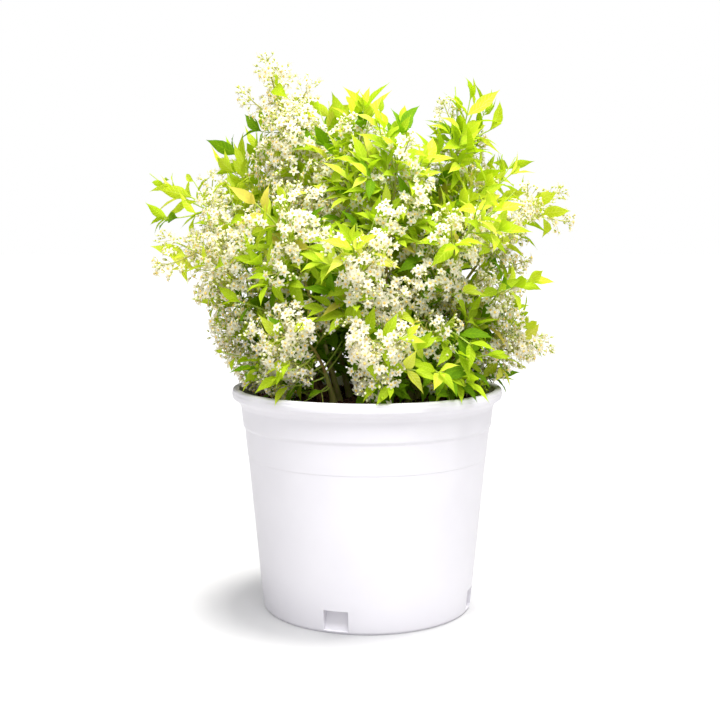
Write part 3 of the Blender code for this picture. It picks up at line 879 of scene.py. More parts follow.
class ShapeStock:
    """The small shapes that are repeated, each kind in a collection of its own, outside the scene."""

    def __init__(self) -> None:
        """Makes every shape."""
        self.leaves = self.collect("leaf_shapes", self.leaf_meshes())
        forms = ((0.75, 0.25), (0.55, 0.05), (1.05, -0.35), (0.65, 0.45))
        stars = [StarPetals(cup=cup, curl=curl) for cup, curl in forms]
        self.petals = self.collect("petal_shapes", [s.mesh(f"petals_{i}") for i, s in enumerate(stars)])
        eye = turned_rings(((0, 0.04), (0.29, 0.22), (0, 0.38)), sides=10, fluted=0.42)
        self.eyes = self.collect("eye_shapes", [closed_mesh("eye", *eye)])
        cup = turned_rings(((0, -0.34), (0.14, -0.22), (0.20, 0.03), (0, 0.0)), sides=5)
        self.cups = self.collect("calyx_shapes", [closed_mesh("calyx", *cup)])
        bud = turned_rings(((0, 0.0), (0.24, 0.16), (0.33, 0.50), (0.20, 0.84), (0, 1.0)), sides=6)
        self.buds = self.collect("bud_shapes", [closed_mesh("bud", *bud)])
        husk = turned_rings(((0, -0.26), (0.24, -0.06), (0.31, 0.30), (0, 0.16)), sides=5)
        self.husks = self.collect("husk_shapes", [closed_mesh("husk", *husk)])

    @staticmethod
    def collect(name: str, meshes: Sequence[Mesh]) -> Collection:
        """A collection that isn't in the scene, with one object to each mesh."""
        return group(name, [bpy.data.objects.new(f"{name}_{i:02d}", mesh) for i, mesh in enumerate(meshes)])

    @staticmethod
    def leaf_meshes() -> list[Mesh]:
        """Leaves that arch, fold and twist by different amounts.

        Returns:
            The leaves.
        """
        dice = Dice("leaf shapes")
        return [
            LeafBlade(
                arch=dice.uniform(0.15, 1.15),
                fold=dice.uniform(0.15, 0.60),
                twist=dice.uniform(-0.5, 0.5),
                ripple=dice.uniform(0.03, 0.12),
                width=dice.uniform(0.31, 0.41),
            ).mesh(f"leaf_{i}")
            for i in range(LEAF_KINDS)
        ]

    def discard(self) -> None:
        """Removes the shapes once they have been used."""
        for kind in (self.leaves, self.petals, self.eyes, self.cups, self.buds, self.husks):
            discard(kind)


# The pot and its soil


def polar(bearing: float, radius: float, height: float) -> Vector:
    """The point at this bearing, radius and height."""
    return Vector((radius * math.cos(bearing), radius * math.sin(bearing), height))


def softened(points: Sequence[Pair], radius: float, steps: int = 4) -> list[Pair]:
    """An outline with each inner corner rounded.

    Args:
        points: The corners of an open outline.
        radius: How far from a corner the rounding starts, at most a third of either side.
        steps: Points along each rounding.

    Returns:
        The outline's points.
    """
    made = [points[0]]
    for before, corner, after in zip(points, points[1:], points[2:]):
        a, b, c = Vector(before), Vector(corner), Vector(after)
        first = b + (a - b).normalized() * min(radius, (a - b).length / 3)
        second = b + (c - b).normalized() * min(radius, (c - b).length / 3)
        for step in range(steps + 1):
            share = step / steps
            point = first * (1 - share) ** 2 + b * 2 * share * (1 - share) + second * share**2
            made.append((point.x, point.y))
    made.append(points[-1])
    return made


@dataclass
class NurseryPot:
    """A turned nursery container with a rolled lip, a collar, and four drain pockets at its foot."""

    height: float = field(default_factory=lambda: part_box("pot")[1].z)
    lip_radius: float = field(default_factory=lambda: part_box("pot")[1].x)
    lip_width: float = 0.0085
    lip_round: float = 0.0013
    lip_step: float = 0.0006
    lip_step_drop: float = 0.0035
    lip_bulge_drop: float = 0.0050
    lip_drop: float = 0.0095
    undercut: float = 0.0070
    undercut_drop: float = 0.0140
    flare: float = 0.0023
    flare_drop: float = 0.0190
    collar_drop: float = 0.0400
    collar_foot_radius: float = 0.1288
    collar_step: float = 0.0016
    seam_drop: float = 0.0710
    seam_step: float = 0.0004
    foot_radius: float = 0.1090
    foot_round: float = 0.0020
    wall: float = 0.0025
    floor: float = 0.0030
    sides: int = 160
    notch_count: int = 4
    notch_first: float = math.radians(-106.3)
    notch_width: float = 0.0250
    notch_top: float = 0.0235
    ramp_foot: float = 0.0035
    ramp_head: float = 0.0120
    overrun: float = 0.0120
    skin: float = 0.0020
    pocket_foot: float = 0.0015
    pocket_inset: float = 0.0018
    pocket_toe: float = 0.0012
    weld: float = 0.00001
    sharp: float = math.radians(35)

    @property
    def collar_foot(self) -> float:
        """Height of the step under the collar."""
        return self.height - self.collar_drop

    def wall_radius(self, height: float) -> float:
        """Outer radius of the tapered wall below the collar's step, at this height."""
        shoulder = self.collar_foot_radius - self.collar_step
        return self.foot_radius + (shoulder - self.foot_radius) * height / self.collar_foot

    def inner_radius(self, height: float) -> float:
        """Radius of the pot's inner face.

        Args:
            height: The height.

        Returns:
            The radius.
        """
        if height <= self.collar_foot:
            return self.wall_radius(height) - self.wall
        foot = self.wall_radius(self.collar_foot) - self.wall
        share = (height - self.collar_foot) / (self.collar_drop - self.undercut_drop)
        return foot + (self.lip_radius - self.lip_width - foot) * min(1.0, share)

    def profile(self) -> list[Pair]:
        """The pot's section, from the middle of its inner floor, over the lip, to the underside.

        Returns:
            Its points.
        """
        top = self.height
        inside, outside = self.lip_radius - self.lip_width, self.lip_radius - self.lip_step
        collar_head = self.lip_radius - self.undercut
        seam = top - self.seam_drop
        corners = (
            (self.inner_radius(self.floor) - self.foot_round, self.floor),
            (self.inner_radius(self.floor + self.foot_round), self.floor + self.foot_round),
            (self.inner_radius(self.collar_foot), self.collar_foot),
            (inside, top - self.undercut_drop),
            (inside + self.lip_step, top - self.lip_round),
            (inside + self.lip_step + self.lip_round, top),
            (outside - self.lip_round, top),
            (outside, top - self.lip_round),
            (outside, top - self.lip_step_drop),
            (self.lip_radius, top - self.lip_bulge_drop),
            (outside, top - self.lip_drop),
            (collar_head, top - self.undercut_drop),
            (collar_head - self.flare, top - self.flare_drop),
            (self.collar_foot_radius, self.collar_foot + self.collar_step),
            (self.collar_foot_radius - self.collar_step, self.collar_foot - self.lip_step),
            (self.wall_radius(seam), seam + self.seam_step),
            (self.wall_radius(seam) - self.seam_step, seam),
            (self.wall_radius(self.notch_top + self.overrun), self.notch_top + self.overrun),
            (self.wall_radius(self.foot_round), self.foot_round),
            (self.foot_radius - self.foot_round, 0.0),
        )
        return [(0.0, self.floor), *softened(corners, self.lip_round), (0.0, 0.0)]

    def turned(self) -> Object:
        """The pot before its notches are cut.

        Returns:
            The pot, with its turning still to be applied.
        """
        mesh = bpy.data.meshes.new("nursery_pot")
        points = [(radius, 0.0, height) for radius, height in self.profile()]
        mesh.from_pydata(points, [(i, i + 1) for i in range(len(points) - 1)], [])
        made = linked("nursery_pot", mesh)
        screw = made.modifiers.new("turn", "SCREW")
        screw.steps = screw.render_steps = self.sides
        screw.use_merge_vertices = True
        screw.merge_threshold = self.weld
        return made

    def prism(self, outline: Sequence[Pair], width: float, bearing: float) -> Object:
        """A closed prism: a section in radius and height, made this wide across the bearing.

        Args:
            outline: The section's corners.
            width: How wide the prism is.
            bearing: The bearing that it lies on.

        Returns:
            The prism.
        """
        shape = bmesh.new()
        sides = []
        for across in (-width / 2, width / 2):
            sides.append([shape.verts.new((radius, across, height)) for radius, height in outline])
        shape.faces.new(sides[0])
        shape.faces.new(reversed(sides[1]))
        count = len(outline)
        for i in range(count):
            after = (i + 1) % count
            shape.faces.new((sides[0][i], sides[0][after], sides[1][after], sides[1][i]))
        bmesh.ops.recalc_face_normals(shape, faces=shape.faces)
        bmesh.ops.rotate(shape, verts=shape.verts, matrix=Matrix.Rotation(bearing, 3, "Z"))
        return linked("prism", mesh_from("prism", shape))

    def pocket(self) -> list[Pair]:
        """Section of the plastic behind a notch.

        Returns:
            Its corners.
        """
        head = self.notch_top + self.skin
        return [
            (self.wall_radius(self.pocket_foot) - self.pocket_inset, self.pocket_foot),
            (self.wall_radius(head) - self.pocket_inset, head),
            (self.wall_radius(head) - self.ramp_head - self.skin, head),
            (self.foot_radius - self.ramp_foot - self.skin - self.pocket_toe, self.pocket_foot),
        ]

    def notch(self) -> list[Pair]:
        """Section of what is cut away at a notch.

        Returns:
            Its corners.
        """
        return [
            (self.foot_radius + self.overrun, self.floor),
            (self.foot_radius + self.overrun, self.notch_top),
            (self.wall_radius(self.notch_top) - self.ramp_head, self.notch_top),
            (self.foot_radius - self.ramp_foot, self.floor),
        ]

    def build(self) -> Object:
        """The pot, dressed, in place of the frame's pot.

        Returns:
            The finished piece.
        """
        pot = self.turned()
        tools = []
        for i in range(self.notch_count):
            bearing = self.notch_first + i * math.tau / self.notch_count
            width = self.notch_width + 2 * self.skin
            tools.append((self.prism(self.pocket(), width, bearing), "UNION"))
            tools.append((self.prism(self.notch(), self.notch_width, bearing), "DIFFERENCE"))
        for tool, operation in sorted(tools, key=lambda pair: pair[1], reverse=True):
            step = pot.modifiers.new(operation.lower(), "BOOLEAN")
            step.operation = operation
            step.object = tool
        mesh = evaluated_mesh(pot)
        pot.data = mesh
        for tool, _ in tools:
            bpy.data.objects.remove(tool, do_unlink=True)
        mesh.shade_smooth()
        mesh.set_sharp_from_angle(angle=self.sharp)
        mesh.materials.clear()
        finish = PotPlastic()
        mesh.materials.append(finish.material())
        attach(pot, ROOT)
        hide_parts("pot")
        return pot


@dataclass
class SoilBed:
    """The bark mix that fills the pot: a lumpy top, with chips, fibres and a few white grains on it."""

    pot: NurseryPot
    top: float = field(default_factory=lambda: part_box("soil")[1].z)
    low: float = field(default_factory=lambda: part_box("soil")[0].z)
    flat_radius: float = 0.086
    edge_fall: float = 0.0030
    wall_gap: float = 0.0004
    litter_margin: float = 0.0080
    lump: float = 0.0022
    lumps_to_metre: float = 70.0
    lump_power: float = 0.9
    lump_step: float = 2.1
    lump_layers: int = 5
    crumb_share: float = 0.35
    crumbs_to_lump: float = 6.0
    settled: float = 0.4
    chip_kinds: int = 7
    chip_width: Pair = (0.45, 0.9)
    chip_depth: Pair = (0.15, 0.35)
    chip_jag: float = 0.16
    fibre_kinds: int = 5
    fibre_bow: Pair = (0.05, 0.25)
    fibre_kink: float = 0.15
    fibre_steps: int = 5
    fibre_radius: float = 0.030
    fibre_taper: float = 1.1
    grain_kinds: int = 3
    grain_radius: float = 0.5
    grain_sway: Pair = (0.75, 1.15)
    rings: int = 64
    sectors: int = 180

    def height(self, radius: float, bearing: float) -> float:
        """Height of the soil at a place.

        Args:
            radius: Distance from the pot's axis.
            bearing: Bearing of the place.

        Returns:
            The height.
        """
        edge = self.edge_radius()
        fall = self.edge_fall * max(0.0, (radius - self.flat_radius) / (edge - self.flat_radius))
        spot = polar(bearing, radius, 0.0) * self.lumps_to_metre
        rough = noise.fractal(spot, self.lump_power, self.lump_step, self.lump_layers) * self.lump
        fine = noise.noise(spot * self.crumbs_to_lump) * self.lump * self.crumb_share
        return self.top - fall + rough + fine - self.lump * self.settled

    def edge_radius(self) -> float:
        """Radius at which the soil meets the pot's wall."""
        return self.pot.inner_radius(self.top - self.edge_fall) - self.wall_gap

    def surface(self) -> tuple[list[Vector], list[Face]]:
        """Points and faces of the soil's top.

        Returns:
            The points and the faces.
        """
        edge = self.edge_radius()
        points = [polar(0.0, 0.0, self.height(0.0, 0.0))]
        for ring in range(1, self.rings + 1):
            radius = edge * ring / self.rings
            for sector in range(self.sectors):
                bearing = math.tau * sector / self.sectors
                points.append(polar(bearing, radius, self.height(radius, bearing)))
        faces: list[Face] = []
        for sector in range(self.sectors):
            after = (sector + 1) % self.sectors
            faces.append((0, 1 + sector, 1 + after))
            for ring in range(self.rings - 1):
                inner, outer = 1 + ring * self.sectors, 1 + (ring + 1) * self.sectors
                faces.append((inner + sector, outer + sector, outer + after, inner + after))
        return points, faces

    def body(self) -> Mesh:
        """The soil as one closed mesh, down to the pot's floor.

        Returns:
            The mesh.
        """
        points, faces = self.surface()
        rim = 1 + (self.rings - 1) * self.sectors
        for height in (self.pot.collar_foot, self.low):
            start = len(points)
            for sector in range(self.sectors):
                bearing = math.tau * sector / self.sectors
                inset = self.pot.ramp_head + self.pot.skin if height == self.low else 0.0
                points.append(polar(bearing, self.pot.inner_radius(height) - self.wall_gap - inset, height))
            for sector in range(self.sectors):
                after = (sector + 1) % self.sectors
                faces.append((rim + sector, start + sector, start + after, rim + after))
            rim = start
        points.append(Vector((0.0, 0.0, self.low)))
        for sector in range(self.sectors):
            faces.append((rim + sector, len(points) - 1, rim + (sector + 1) % self.sectors))
        return closed_mesh("soil_bed", points, faces)

    def carrier(self, name: str) -> Object:
        """The soil's top alone, for what is strewn on it.

        Args:
            name: Its name.

        Returns:
            The top.
        """
        points, faces = self.surface()
        kept = self.edge_radius() - self.litter_margin
        inner = [face for face in faces if all(points[i].xy.length < kept for i in face)]
        mesh = bpy.data.meshes.new(name)
        mesh.from_pydata([tuple(p) for p in points], [], inner)
        return linked(name, mesh)

    def chip_shapes(self) -> Collection:
        """Splinters of bark: small boxes with uneven corners.

        Returns:
            The shapes.
        """
        dice = Dice("bark chips")
        meshes = []
        for i in range(self.chip_kinds):
            shape = bmesh.new()
            bmesh.ops.create_cube(shape, size=1.0)
            width, depth = dice.uniform(*self.chip_width), dice.uniform(*self.chip_depth)
            for vertex in shape.verts:
                vertex.co.y *= width
                vertex.co.z *= depth
                vertex.co += Vector([dice.uniform(-self.chip_jag, self.chip_jag) for _ in range(3)])
            meshes.append(mesh_from(f"chip_{i}", shape))
        return ShapeStock.collect("chip_shapes", meshes)

    def fibre_shapes(self) -> Collection:
        """Bent fibres: thin three-sided slivers of unit length.

        Returns:
            The shapes.
        """
        dice = Dice("bark fibres")
        meshes = []
        steps = self.fibre_steps
        for i in range(self.fibre_kinds):
            bow, kink = dice.uniform(*self.fibre_bow), dice.uniform(-self.fibre_kink, self.fibre_kink)
            points, faces = [], []
            for step in range(steps + 1):
                along = step / steps
                middle = Vector((along - 0.5, kink * along * along, bow * 4 * along * (1 - along)))
                for side in range(3):
                    angle = math.tau * side / 3
                    ring = Vector((0.0, math.cos(angle), math.sin(angle)))
                    points.append(middle + ring * self.fibre_radius * (self.fibre_taper - along))
            for step in range(steps):
                for side in range(3):
                    a, b = 3 * step + side, 3 * step + (side + 1) % 3
                    faces.append((a, b, b + 3, a + 3))
            last = 3 * steps
            faces += [(0, 1, 2), (last, last + 1, last + 2)]
            meshes.append(closed_mesh(f"fibre_{i}", points, faces))
        return ShapeStock.collect("fibre_shapes", meshes)

    def grain_shapes(self) -> Collection:
        """White grains: small uneven balls.

        Returns:
            The shapes.
        """
        dice = Dice("white grains")
        meshes = []
        for i in range(self.grain_kinds):
            shape = bmesh.new()
            bmesh.ops.create_icosphere(shape, subdivisions=1, radius=self.grain_radius)
            for vertex in shape.verts:
                vertex.co *= dice.uniform(*self.grain_sway)
            meshes.append(mesh_from(f"grain_{i}", shape))
        return ShapeStock.collect("grain_shapes", meshes)

    def build(self) -> list[Object]:
        """The soil and all that is strewn on it.

        Returns:
            The finished pieces.
        """
        mix = SoilMix("soil_mix", (0.020, 0.009, 0.007), (0.085, 0.034, 0.024))
        chips = SoilMix("bark_chips", (0.050, 0.020, 0.014), (0.180, 0.075, 0.045))
        fibres = SoilMix("bark_fibres", (0.16, 0.085, 0.050), (0.34, 0.21, 0.13))
        grains = SoilMix("white_grains", (0.55, 0.52, 0.48), (0.72, 0.70, 0.66))
        bed = linked("soil_bed", self.body())
        bed.data.materials.append(mix.material())
        bed.data.shade_smooth()
        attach(bed, ROOT)
        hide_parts("soil")
        strewn = litter_tree()
        pieces = [bed]
        for kind, shapes, finish, values in (
            ("chips", self.chip_shapes(), chips, dict(Density=60000.0, Least=0.0016, Most=0.0075, Seed=3)),
            ("fibres", self.fibre_shapes(), fibres, dict(Density=6000.0, Least=0.006, Most=0.018, Seed=5)),
            ("grains", self.grain_shapes(), grains, dict(Density=1300.0, Least=0.0010, Most=0.0026, Seed=8)),
        ):
            values |= {"Shapes": shapes, "Material": finish.material()}
            piece = strewn.run(self.carrier("soil_" + kind), values)
            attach(piece, ROOT)
            discard(shapes)
            pieces.append(piece)
        return pieces


# The growth rule


class Mass(NamedTuple):
    """One mass of the crown, as the frame has it."""

    name: str
    bearing: float
    reach: float
    height: float
    entry: float
    bloom: float


MASSES = (
    Mass("spire_left", 176, 0.102, 0.560, 0.32, 0.90),
    Mass("top_middle", 250, 0.030, 0.532, 0.32, 0.25),
    Mass("top_right", 358, 0.120, 0.540, 0.32, 0.35),
    Mass("top_back", 114, 0.094, 0.536, 0.32, 0.50),
    Mass("top_front", 292, 0.094, 0.510, 0.30, 0.60),
    Mass("arm_left", 177, 0.224, 0.448, 0.27, 0.35),
    Mass("arm_left_low", 194, 0.212, 0.386, 0.27, 0.90),
    Mass("arm_front_left", 226, 0.176, 0.432, 0.26, 0.65),
    Mass("arm_front_right", 318, 0.184, 0.424, 0.26, 0.60),
    Mass("arm_right", 354, 0.200, 0.432, 0.27, 0.90),
    Mass("arm_right_high", 14, 0.180, 0.470, 0.28, 0.35),
    Mass("arm_back_right", 54, 0.194, 0.446, 0.26, 0.60),
    Mass("arm_back_left", 151, 0.186, 0.496, 0.27, 0.75),
    Mass("front_middle", 264, 0.166, 0.396, 0.25, 0.75),
    Mass("side_left", 209, 0.174, 0.330, 0.24, 0.75),
    Mass("side_right", 337, 0.200, 0.352, 0.24, 0.70),
    Mass("side_back", 102, 0.190, 0.384, 0.24, 0.65),
    Mass("skirt_left", 188, 0.164, 0.280, 0.24, 0.90),
    Mass("skirt_front_left", 236, 0.166, 0.282, 0.22, 0.90),
    Mass("skirt_front", 272, 0.158, 0.276, 0.22, 0.85),
    Mass("skirt_front_right", 312, 0.172, 0.270, 0.22, 0.60),
    Mass("skirt_right", 354, 0.192, 0.270, 0.24, 0.85),
    Mass("skirt_back_right", 36, 0.176, 0.296, 0.22, 0.60),
    Mass("skirt_back", 76, 0.166, 0.284, 0.22, 0.70),
    Mass("skirt_back_left", 146, 0.174, 0.296, 0.22, 0.60),
)


@dataclass(frozen=True)
class Habit:
    """How the shrub grows: the sizes of the rule that the frame's masses follow, and of its finer twigs."""

    cane_foot_spread: float = 0.064
    cane_foot_radius: float = 0.0031
    cane_tip_radius: float = 0.0018
    cane_flare: float = 1.35
    cane_flare_height: float = 0.008
    cane_least_rise: float = 0.088
    cane_rise_share: float = 0.72
    cane_lean_share: float = 0.30
    cane_upright_lean: float = 0.50
    cane_upright_power: int = 8
    tip_overhang_leafy: float = 0.050
    tip_overhang_bloom: float = 0.016
    spike_bloom: float = 0.8
    long_mass: float = 0.16
    least_vigour: float = 0.80
    node_step: float = 0.042
    node_first: float = 0.35
    lateral_length: float = 0.070
    lateral_shorten: float = 0.42
    lateral_angle: float = math.radians(56)
    lateral_lift: float = 0.20
    lateral_slack: float = 0.006
    roll_sway: float = 0.35
    angle_sway: float = 0.14
    length_sway: Pair = (0.82, 1.12)
    twig_tries: tuple[float, ...] = (1.0, 0.8, 0.6, 0.5)
    side_spill: float = 0.010
    top_spill: float = 0.005
    least_edge: float = 0.132
    box_spare: float = 0.004
    least_top: float = 0.370
    sample_step: float = 0.003
    length_steps: int = 24
    cell_gap: float = 0.0008
    pot_gap: float = 0.0020
    sag: float = 0.10
    between_share: float = 0.50
    between_length: float = 0.78
    sprig_places: tuple[float, ...] = (0.25, 0.55)
    sprig_length: float = 0.026
    sprig_bloom: float = 0.72
    between_bloom: float = 0.90
    open_from: float = 0.62
    hem_height: float = 0.34
    hem_shoots: int = 5
    hem_shoots_behind: int = 9
    hem_bloom: float = 0.60
    hem_sway: float = 40
    clear_height: float = 0.465
    clear_reach: float = 0.185
    clear_loss: float = 0.36
    whip_height: float = 0.38
    spike_leaves: float = 0.55
    hollow_bearing: float = math.radians(253)
    hollow_half: float = math.radians(10)
    hollow_radius: float = 0.062
    hollow_top: float = 0.290
    left_foot: float = 0.118
    left_flare: float = 0.85
    leader: float = 0.020
    stem_tip_radius: float = 0.0008
    lateral_foot_radius: float = 0.0010
    lateral_tip_radius: float = 0.0005
    stem_steps: int = 16
    stem_overlap: float = 0.012
    woody_bloom: float = 0.5
    woody_age: float = 0.9
    green_age: float = 0.5
    age_power: float = 0.8
    twig_steps: int = 6
    flowering_age: float = 0.6
    leafy_age: float = 0.15
    leaves_under_panicle: Pair = (0.08, 0.42)
    leaves_on_twig: Pair = (0.10, 0.93)
    panicle_from: float = 0.36
    sprig_room: float = 1.2
    sprig_ahead: float = 0.65
    sprig_lift: float = 0.15
    sprig_sway: Pair = (0.75, 1.15)
    sprig_slack: float = 0.010
    sprig_age: float = 0.3
    sprig_panicle_from: float = 0.30
    sprig_leaves: Pair = (0.3, 0.7)
    sprig_fan: float = 0.8
    hem_behind: Pair = (0.0, 160.0)
    hem_places: Pair = (0.55, 1.9)
    hem_dip: Pair = (-30.0, 12.0)
    hem_length: Pair = (0.045, 0.075)
    hem_slack: float = 0.050
    core_ahead: float = 0.4
    whip_aside: float = 0.5
    whip_lift: float = 0.4


@dataclass(frozen=True)
class Leafing:
    """How the leaves stand on their twigs, and how the light that a place gets picks their tint, as painted
    light and shade.
    """

    leaf_length: float = 0.045
    leaf_step: float = 0.021
    leaf_tries: tuple[float, ...] = (1.0, 0.82, 0.66)
    leaf_angle: float = math.radians(58)
    leaf_apart: float = 0.0065
    tip_angle: float = math.radians(24)
    to_sky: float = 0.55
    outward: float = 6.0
    back: float = 0.2
    roll_sway: float = 0.25
    angle_sway: float = 0.18
    length_sway: Pair = (0.92, 1.08)
    run_sway: Pair = (0.80, 1.08)
    run_shorten: float = 0.25
    run_opening: float = 1.1
    run_closing: float = 0.25
    run_youth: float = 0.03
    stem_sway: Pair = (0.8, 1.05)
    stem_opening: float = 1.15
    outer_back: float = 0.003
    outer_size: float = 0.85
    outer_opening: float = 1.25
    inner_size: float = 0.52
    inner_opening: float = 0.6
    inner_youth: float = 0.15
    leader_back: float = 0.018
    leader_size: float = 0.95
    leader_opening: float = 0.75
    light_height: float = 0.30
    light_reach: float = 0.19
    light_rise: float = 1.5
    tint_sway: float = 0.20
    tinged_below: float = 0.02
    young_below: float = 0.11
    young_light: float = 0.45
    lime_light: float = 0.72
    mid_light: float = 0.36


@dataclass(frozen=True)
class Flowering:
    """How a panicle is set with flowers and buds."""

    flower_radius: float = 0.0058
    flower_apart: float = 0.0050
    bud_length: float = 0.0046
    bud_apart: float = 0.0028
    bud_shorten: Pair = (1.15, 0.4)
    bud_chance: Pair = (0.08, 0.45)
    size_sway: Pair = (0.82, 1.14)
    spike_from: float = 0.62
    spike_overhang: float = 0.7
    spike_panicle_from: float = 0.05
    panicle_step: float = 0.0068
    branchlet: float = 0.0140
    branchlet_shorten: float = 0.60
    branchlet_sway: Pair = (0.75, 1.2)
    branchlet_roll: float = 0.4
    branchlet_opening: Pair = (64.0, 24.0)
    branchlet_angle_sway: float = 0.2
    branchlet_flare: float = 1.3
    stalk_age: float = 0.3
    end_along: float = 0.9
    end_blooms: int = 3
    end_turn: float = 2.1
    end_aside: float = 0.9
    end_back: float = 0.002
    beside_ahead: float = 0.75
    beside_aside: float = 0.7
    beside_place: Pair = (0.65, 0.15)
    beside_along: float = 0.2
    pedicel: float = 0.0050
    pedicel_sway: Pair = (0.7, 1.4)
    pedicel_radius: float = 0.00026
    pedicel_back: float = 0.0012
    pedicel_age: float = 0.1
    face_ahead: float = 0.9
    face_outward: float = 0.65
    face_up: Pair = (-0.15, 0.35)
    spin: float = 9.0
    axis_radius: float = 0.00050


class Shoot(NamedTuple):
    """How one kind of short leafy shoot grows, and how many of them a mass has."""

    count: int
    places: Pair
    length: Pair
    slack: float
    leaves: Pair
    fan: float
    age: float = 0.1


CORE = Shoot(6, places=(0.30, 1.15), length=(0.030, 0.055), slack=0.060, leaves=(0.25, 0.90), fan=0.9)
WHIP = Shoot(3, places=(0.50, 0.95), length=(0.045, 0.080), slack=0.030, leaves=(0.35, 0.90), fan=1.15)
LEAF = Leafing()
BLOOM = Flowering()
HABIT = Habit()
HABIT = Habit()
SOIL_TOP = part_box("soil")[1].z
CANE_FOOT = min(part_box("cane_" + mass.name)[0].z for mass in MASSES)


class Gap(NamedTuple):
    """A gap that lets the sky through the crown, round a straight line."""

    point: Vector
    heading: Vector
    radius: float

    def holds(self, point: Vector) -> bool:
        """True if the point is in the gap."""
        off = point - self.point
        return (off - self.heading * off.dot(self.heading)).length < self.radius


GAPS = (
    Gap(Vector((0.105, 0.0, 0.348)), Vector((0.0975, 1.0, -0.0208)).normalized(), 0.0095),
    Gap(Vector((0.082, 0.0, 0.302)), Vector((0.0780, 1.0, -0.0600)).normalized(), 0.0050),
)


class Way:
    """The arched way of one cane and of the stem that grows on from it, foot to tip."""

    def __init__(self, mass: Mass) -> None:
        """Works out the way as a curve of three points.

        Args:
            mass: The mass that it leads to.
        """
        bearing = math.radians(mass.bearing)
        climb = mass.height - SOIL_TOP
        steep = climb / math.hypot(mass.reach, climb)
        spread = HABIT.cane_foot_spread * mass.reach / math.hypot(mass.reach, climb)
        self.foot = polar(bearing, spread, CANE_FOOT)
        rise = max(climb * HABIT.cane_rise_share, HABIT.cane_least_rise)
        lean_share = HABIT.cane_lean_share + HABIT.cane_upright_lean * steep**HABIT.cane_upright_power
        self.bend = polar(bearing, spread + (mass.reach - spread) * lean_share, self.foot.z + rise)
        furthest = polar(bearing, mass.reach, mass.height)
        in_bloom = mass.bloom > HABIT.spike_bloom
        overhang = HABIT.tip_overhang_bloom if in_bloom else HABIT.tip_overhang_leafy
        self.tip = furthest - (furthest - self.bend).normalized() * overhang

    def point(self, share: float) -> Vector:
        """The point at this share of the way."""
        back = 1 - share
        return self.foot * back**2 + self.bend * (2 * back * share) + self.tip * share**2

    def heading(self, share: float) -> Vector:
        """The unit direction of the way at this share."""
        way = (self.bend - self.foot) * (1 - share) + (self.tip - self.bend) * share
        return way.normalized()

    def samples(self, start: float, end: float, count: int) -> list[Vector]:
        """Evenly numbered points between two shares, both ends among them."""
        return [self.point(start + (end - start) * i / count) for i in range(count + 1)]

    def length(self, start: float, end: float) -> float:
        """Length of the way between two shares."""
        return path_length(self.samples(start, end, HABIT.length_steps))


def path_length(points: Sequence[Vector]) -> float:
    """Length of a path."""
    return sum((b - a).length for a, b in zip(points, points[1:]))


def along_path(points: Sequence[Vector], share: float) -> tuple[Vector, Vector]:
    """A place on a path, and the direction there.

    Args:
        points: The path.
        share: How far along it, from 0 to 1.

    Returns:
        The place and the unit direction.
    """
    spot = min(max(share, 0.0), 1.0) * (len(points) - 1)
    i = min(int(spot), len(points) - 2)
    return points[i].lerp(points[i + 1], spot - i), (points[i + 1] - points[i]).normalized()


def end_of(points: Sequence[Vector]) -> tuple[Vector, Vector]:
    """The end of a path, and the direction there."""
    return points[-1], (points[-1] - points[-2]).normalized()


def sideways(heading: Vector, roll: float) -> Vector:
    """The unit direction square to another.

    Args:
        heading: The other direction.
        roll: How far it is rolled round that one from level.

    Returns:
        The direction.
    """
    level = heading.cross(UP)
    if level.length < NEARLY_UPRIGHT:
        level = Vector((1.0, 0.0, 0.0))
    return Matrix.Rotation(roll, 3, heading) @ level.normalized()


class Place(NamedTuple):
    """Where one leaf, flower or bud goes: its foot, turn, size, shape and tone."""

    foot: Vector
    turn: Euler
    size: float
    pick: int
    tone: float


class Tube(NamedTuple):
    """The centre line of a twig, with the radius and the age of its wood at each point."""

    points: list[Vector]
    radii: list[float]
    ages: list[float]


def framed(x: Vector, z: Vector) -> Euler:
    """The turn that takes X along the first direction and Z near the second.

    Args:
        x: Where X is to point.
        z: Where Z is to point, as nearly as X allows.

    Returns:
        The turn as Euler angles.
    """
    first = x.normalized()
    third = (z - first * z.dot(first)).normalized()
    return Matrix((first, third.cross(first), third)).transposed().to_euler()


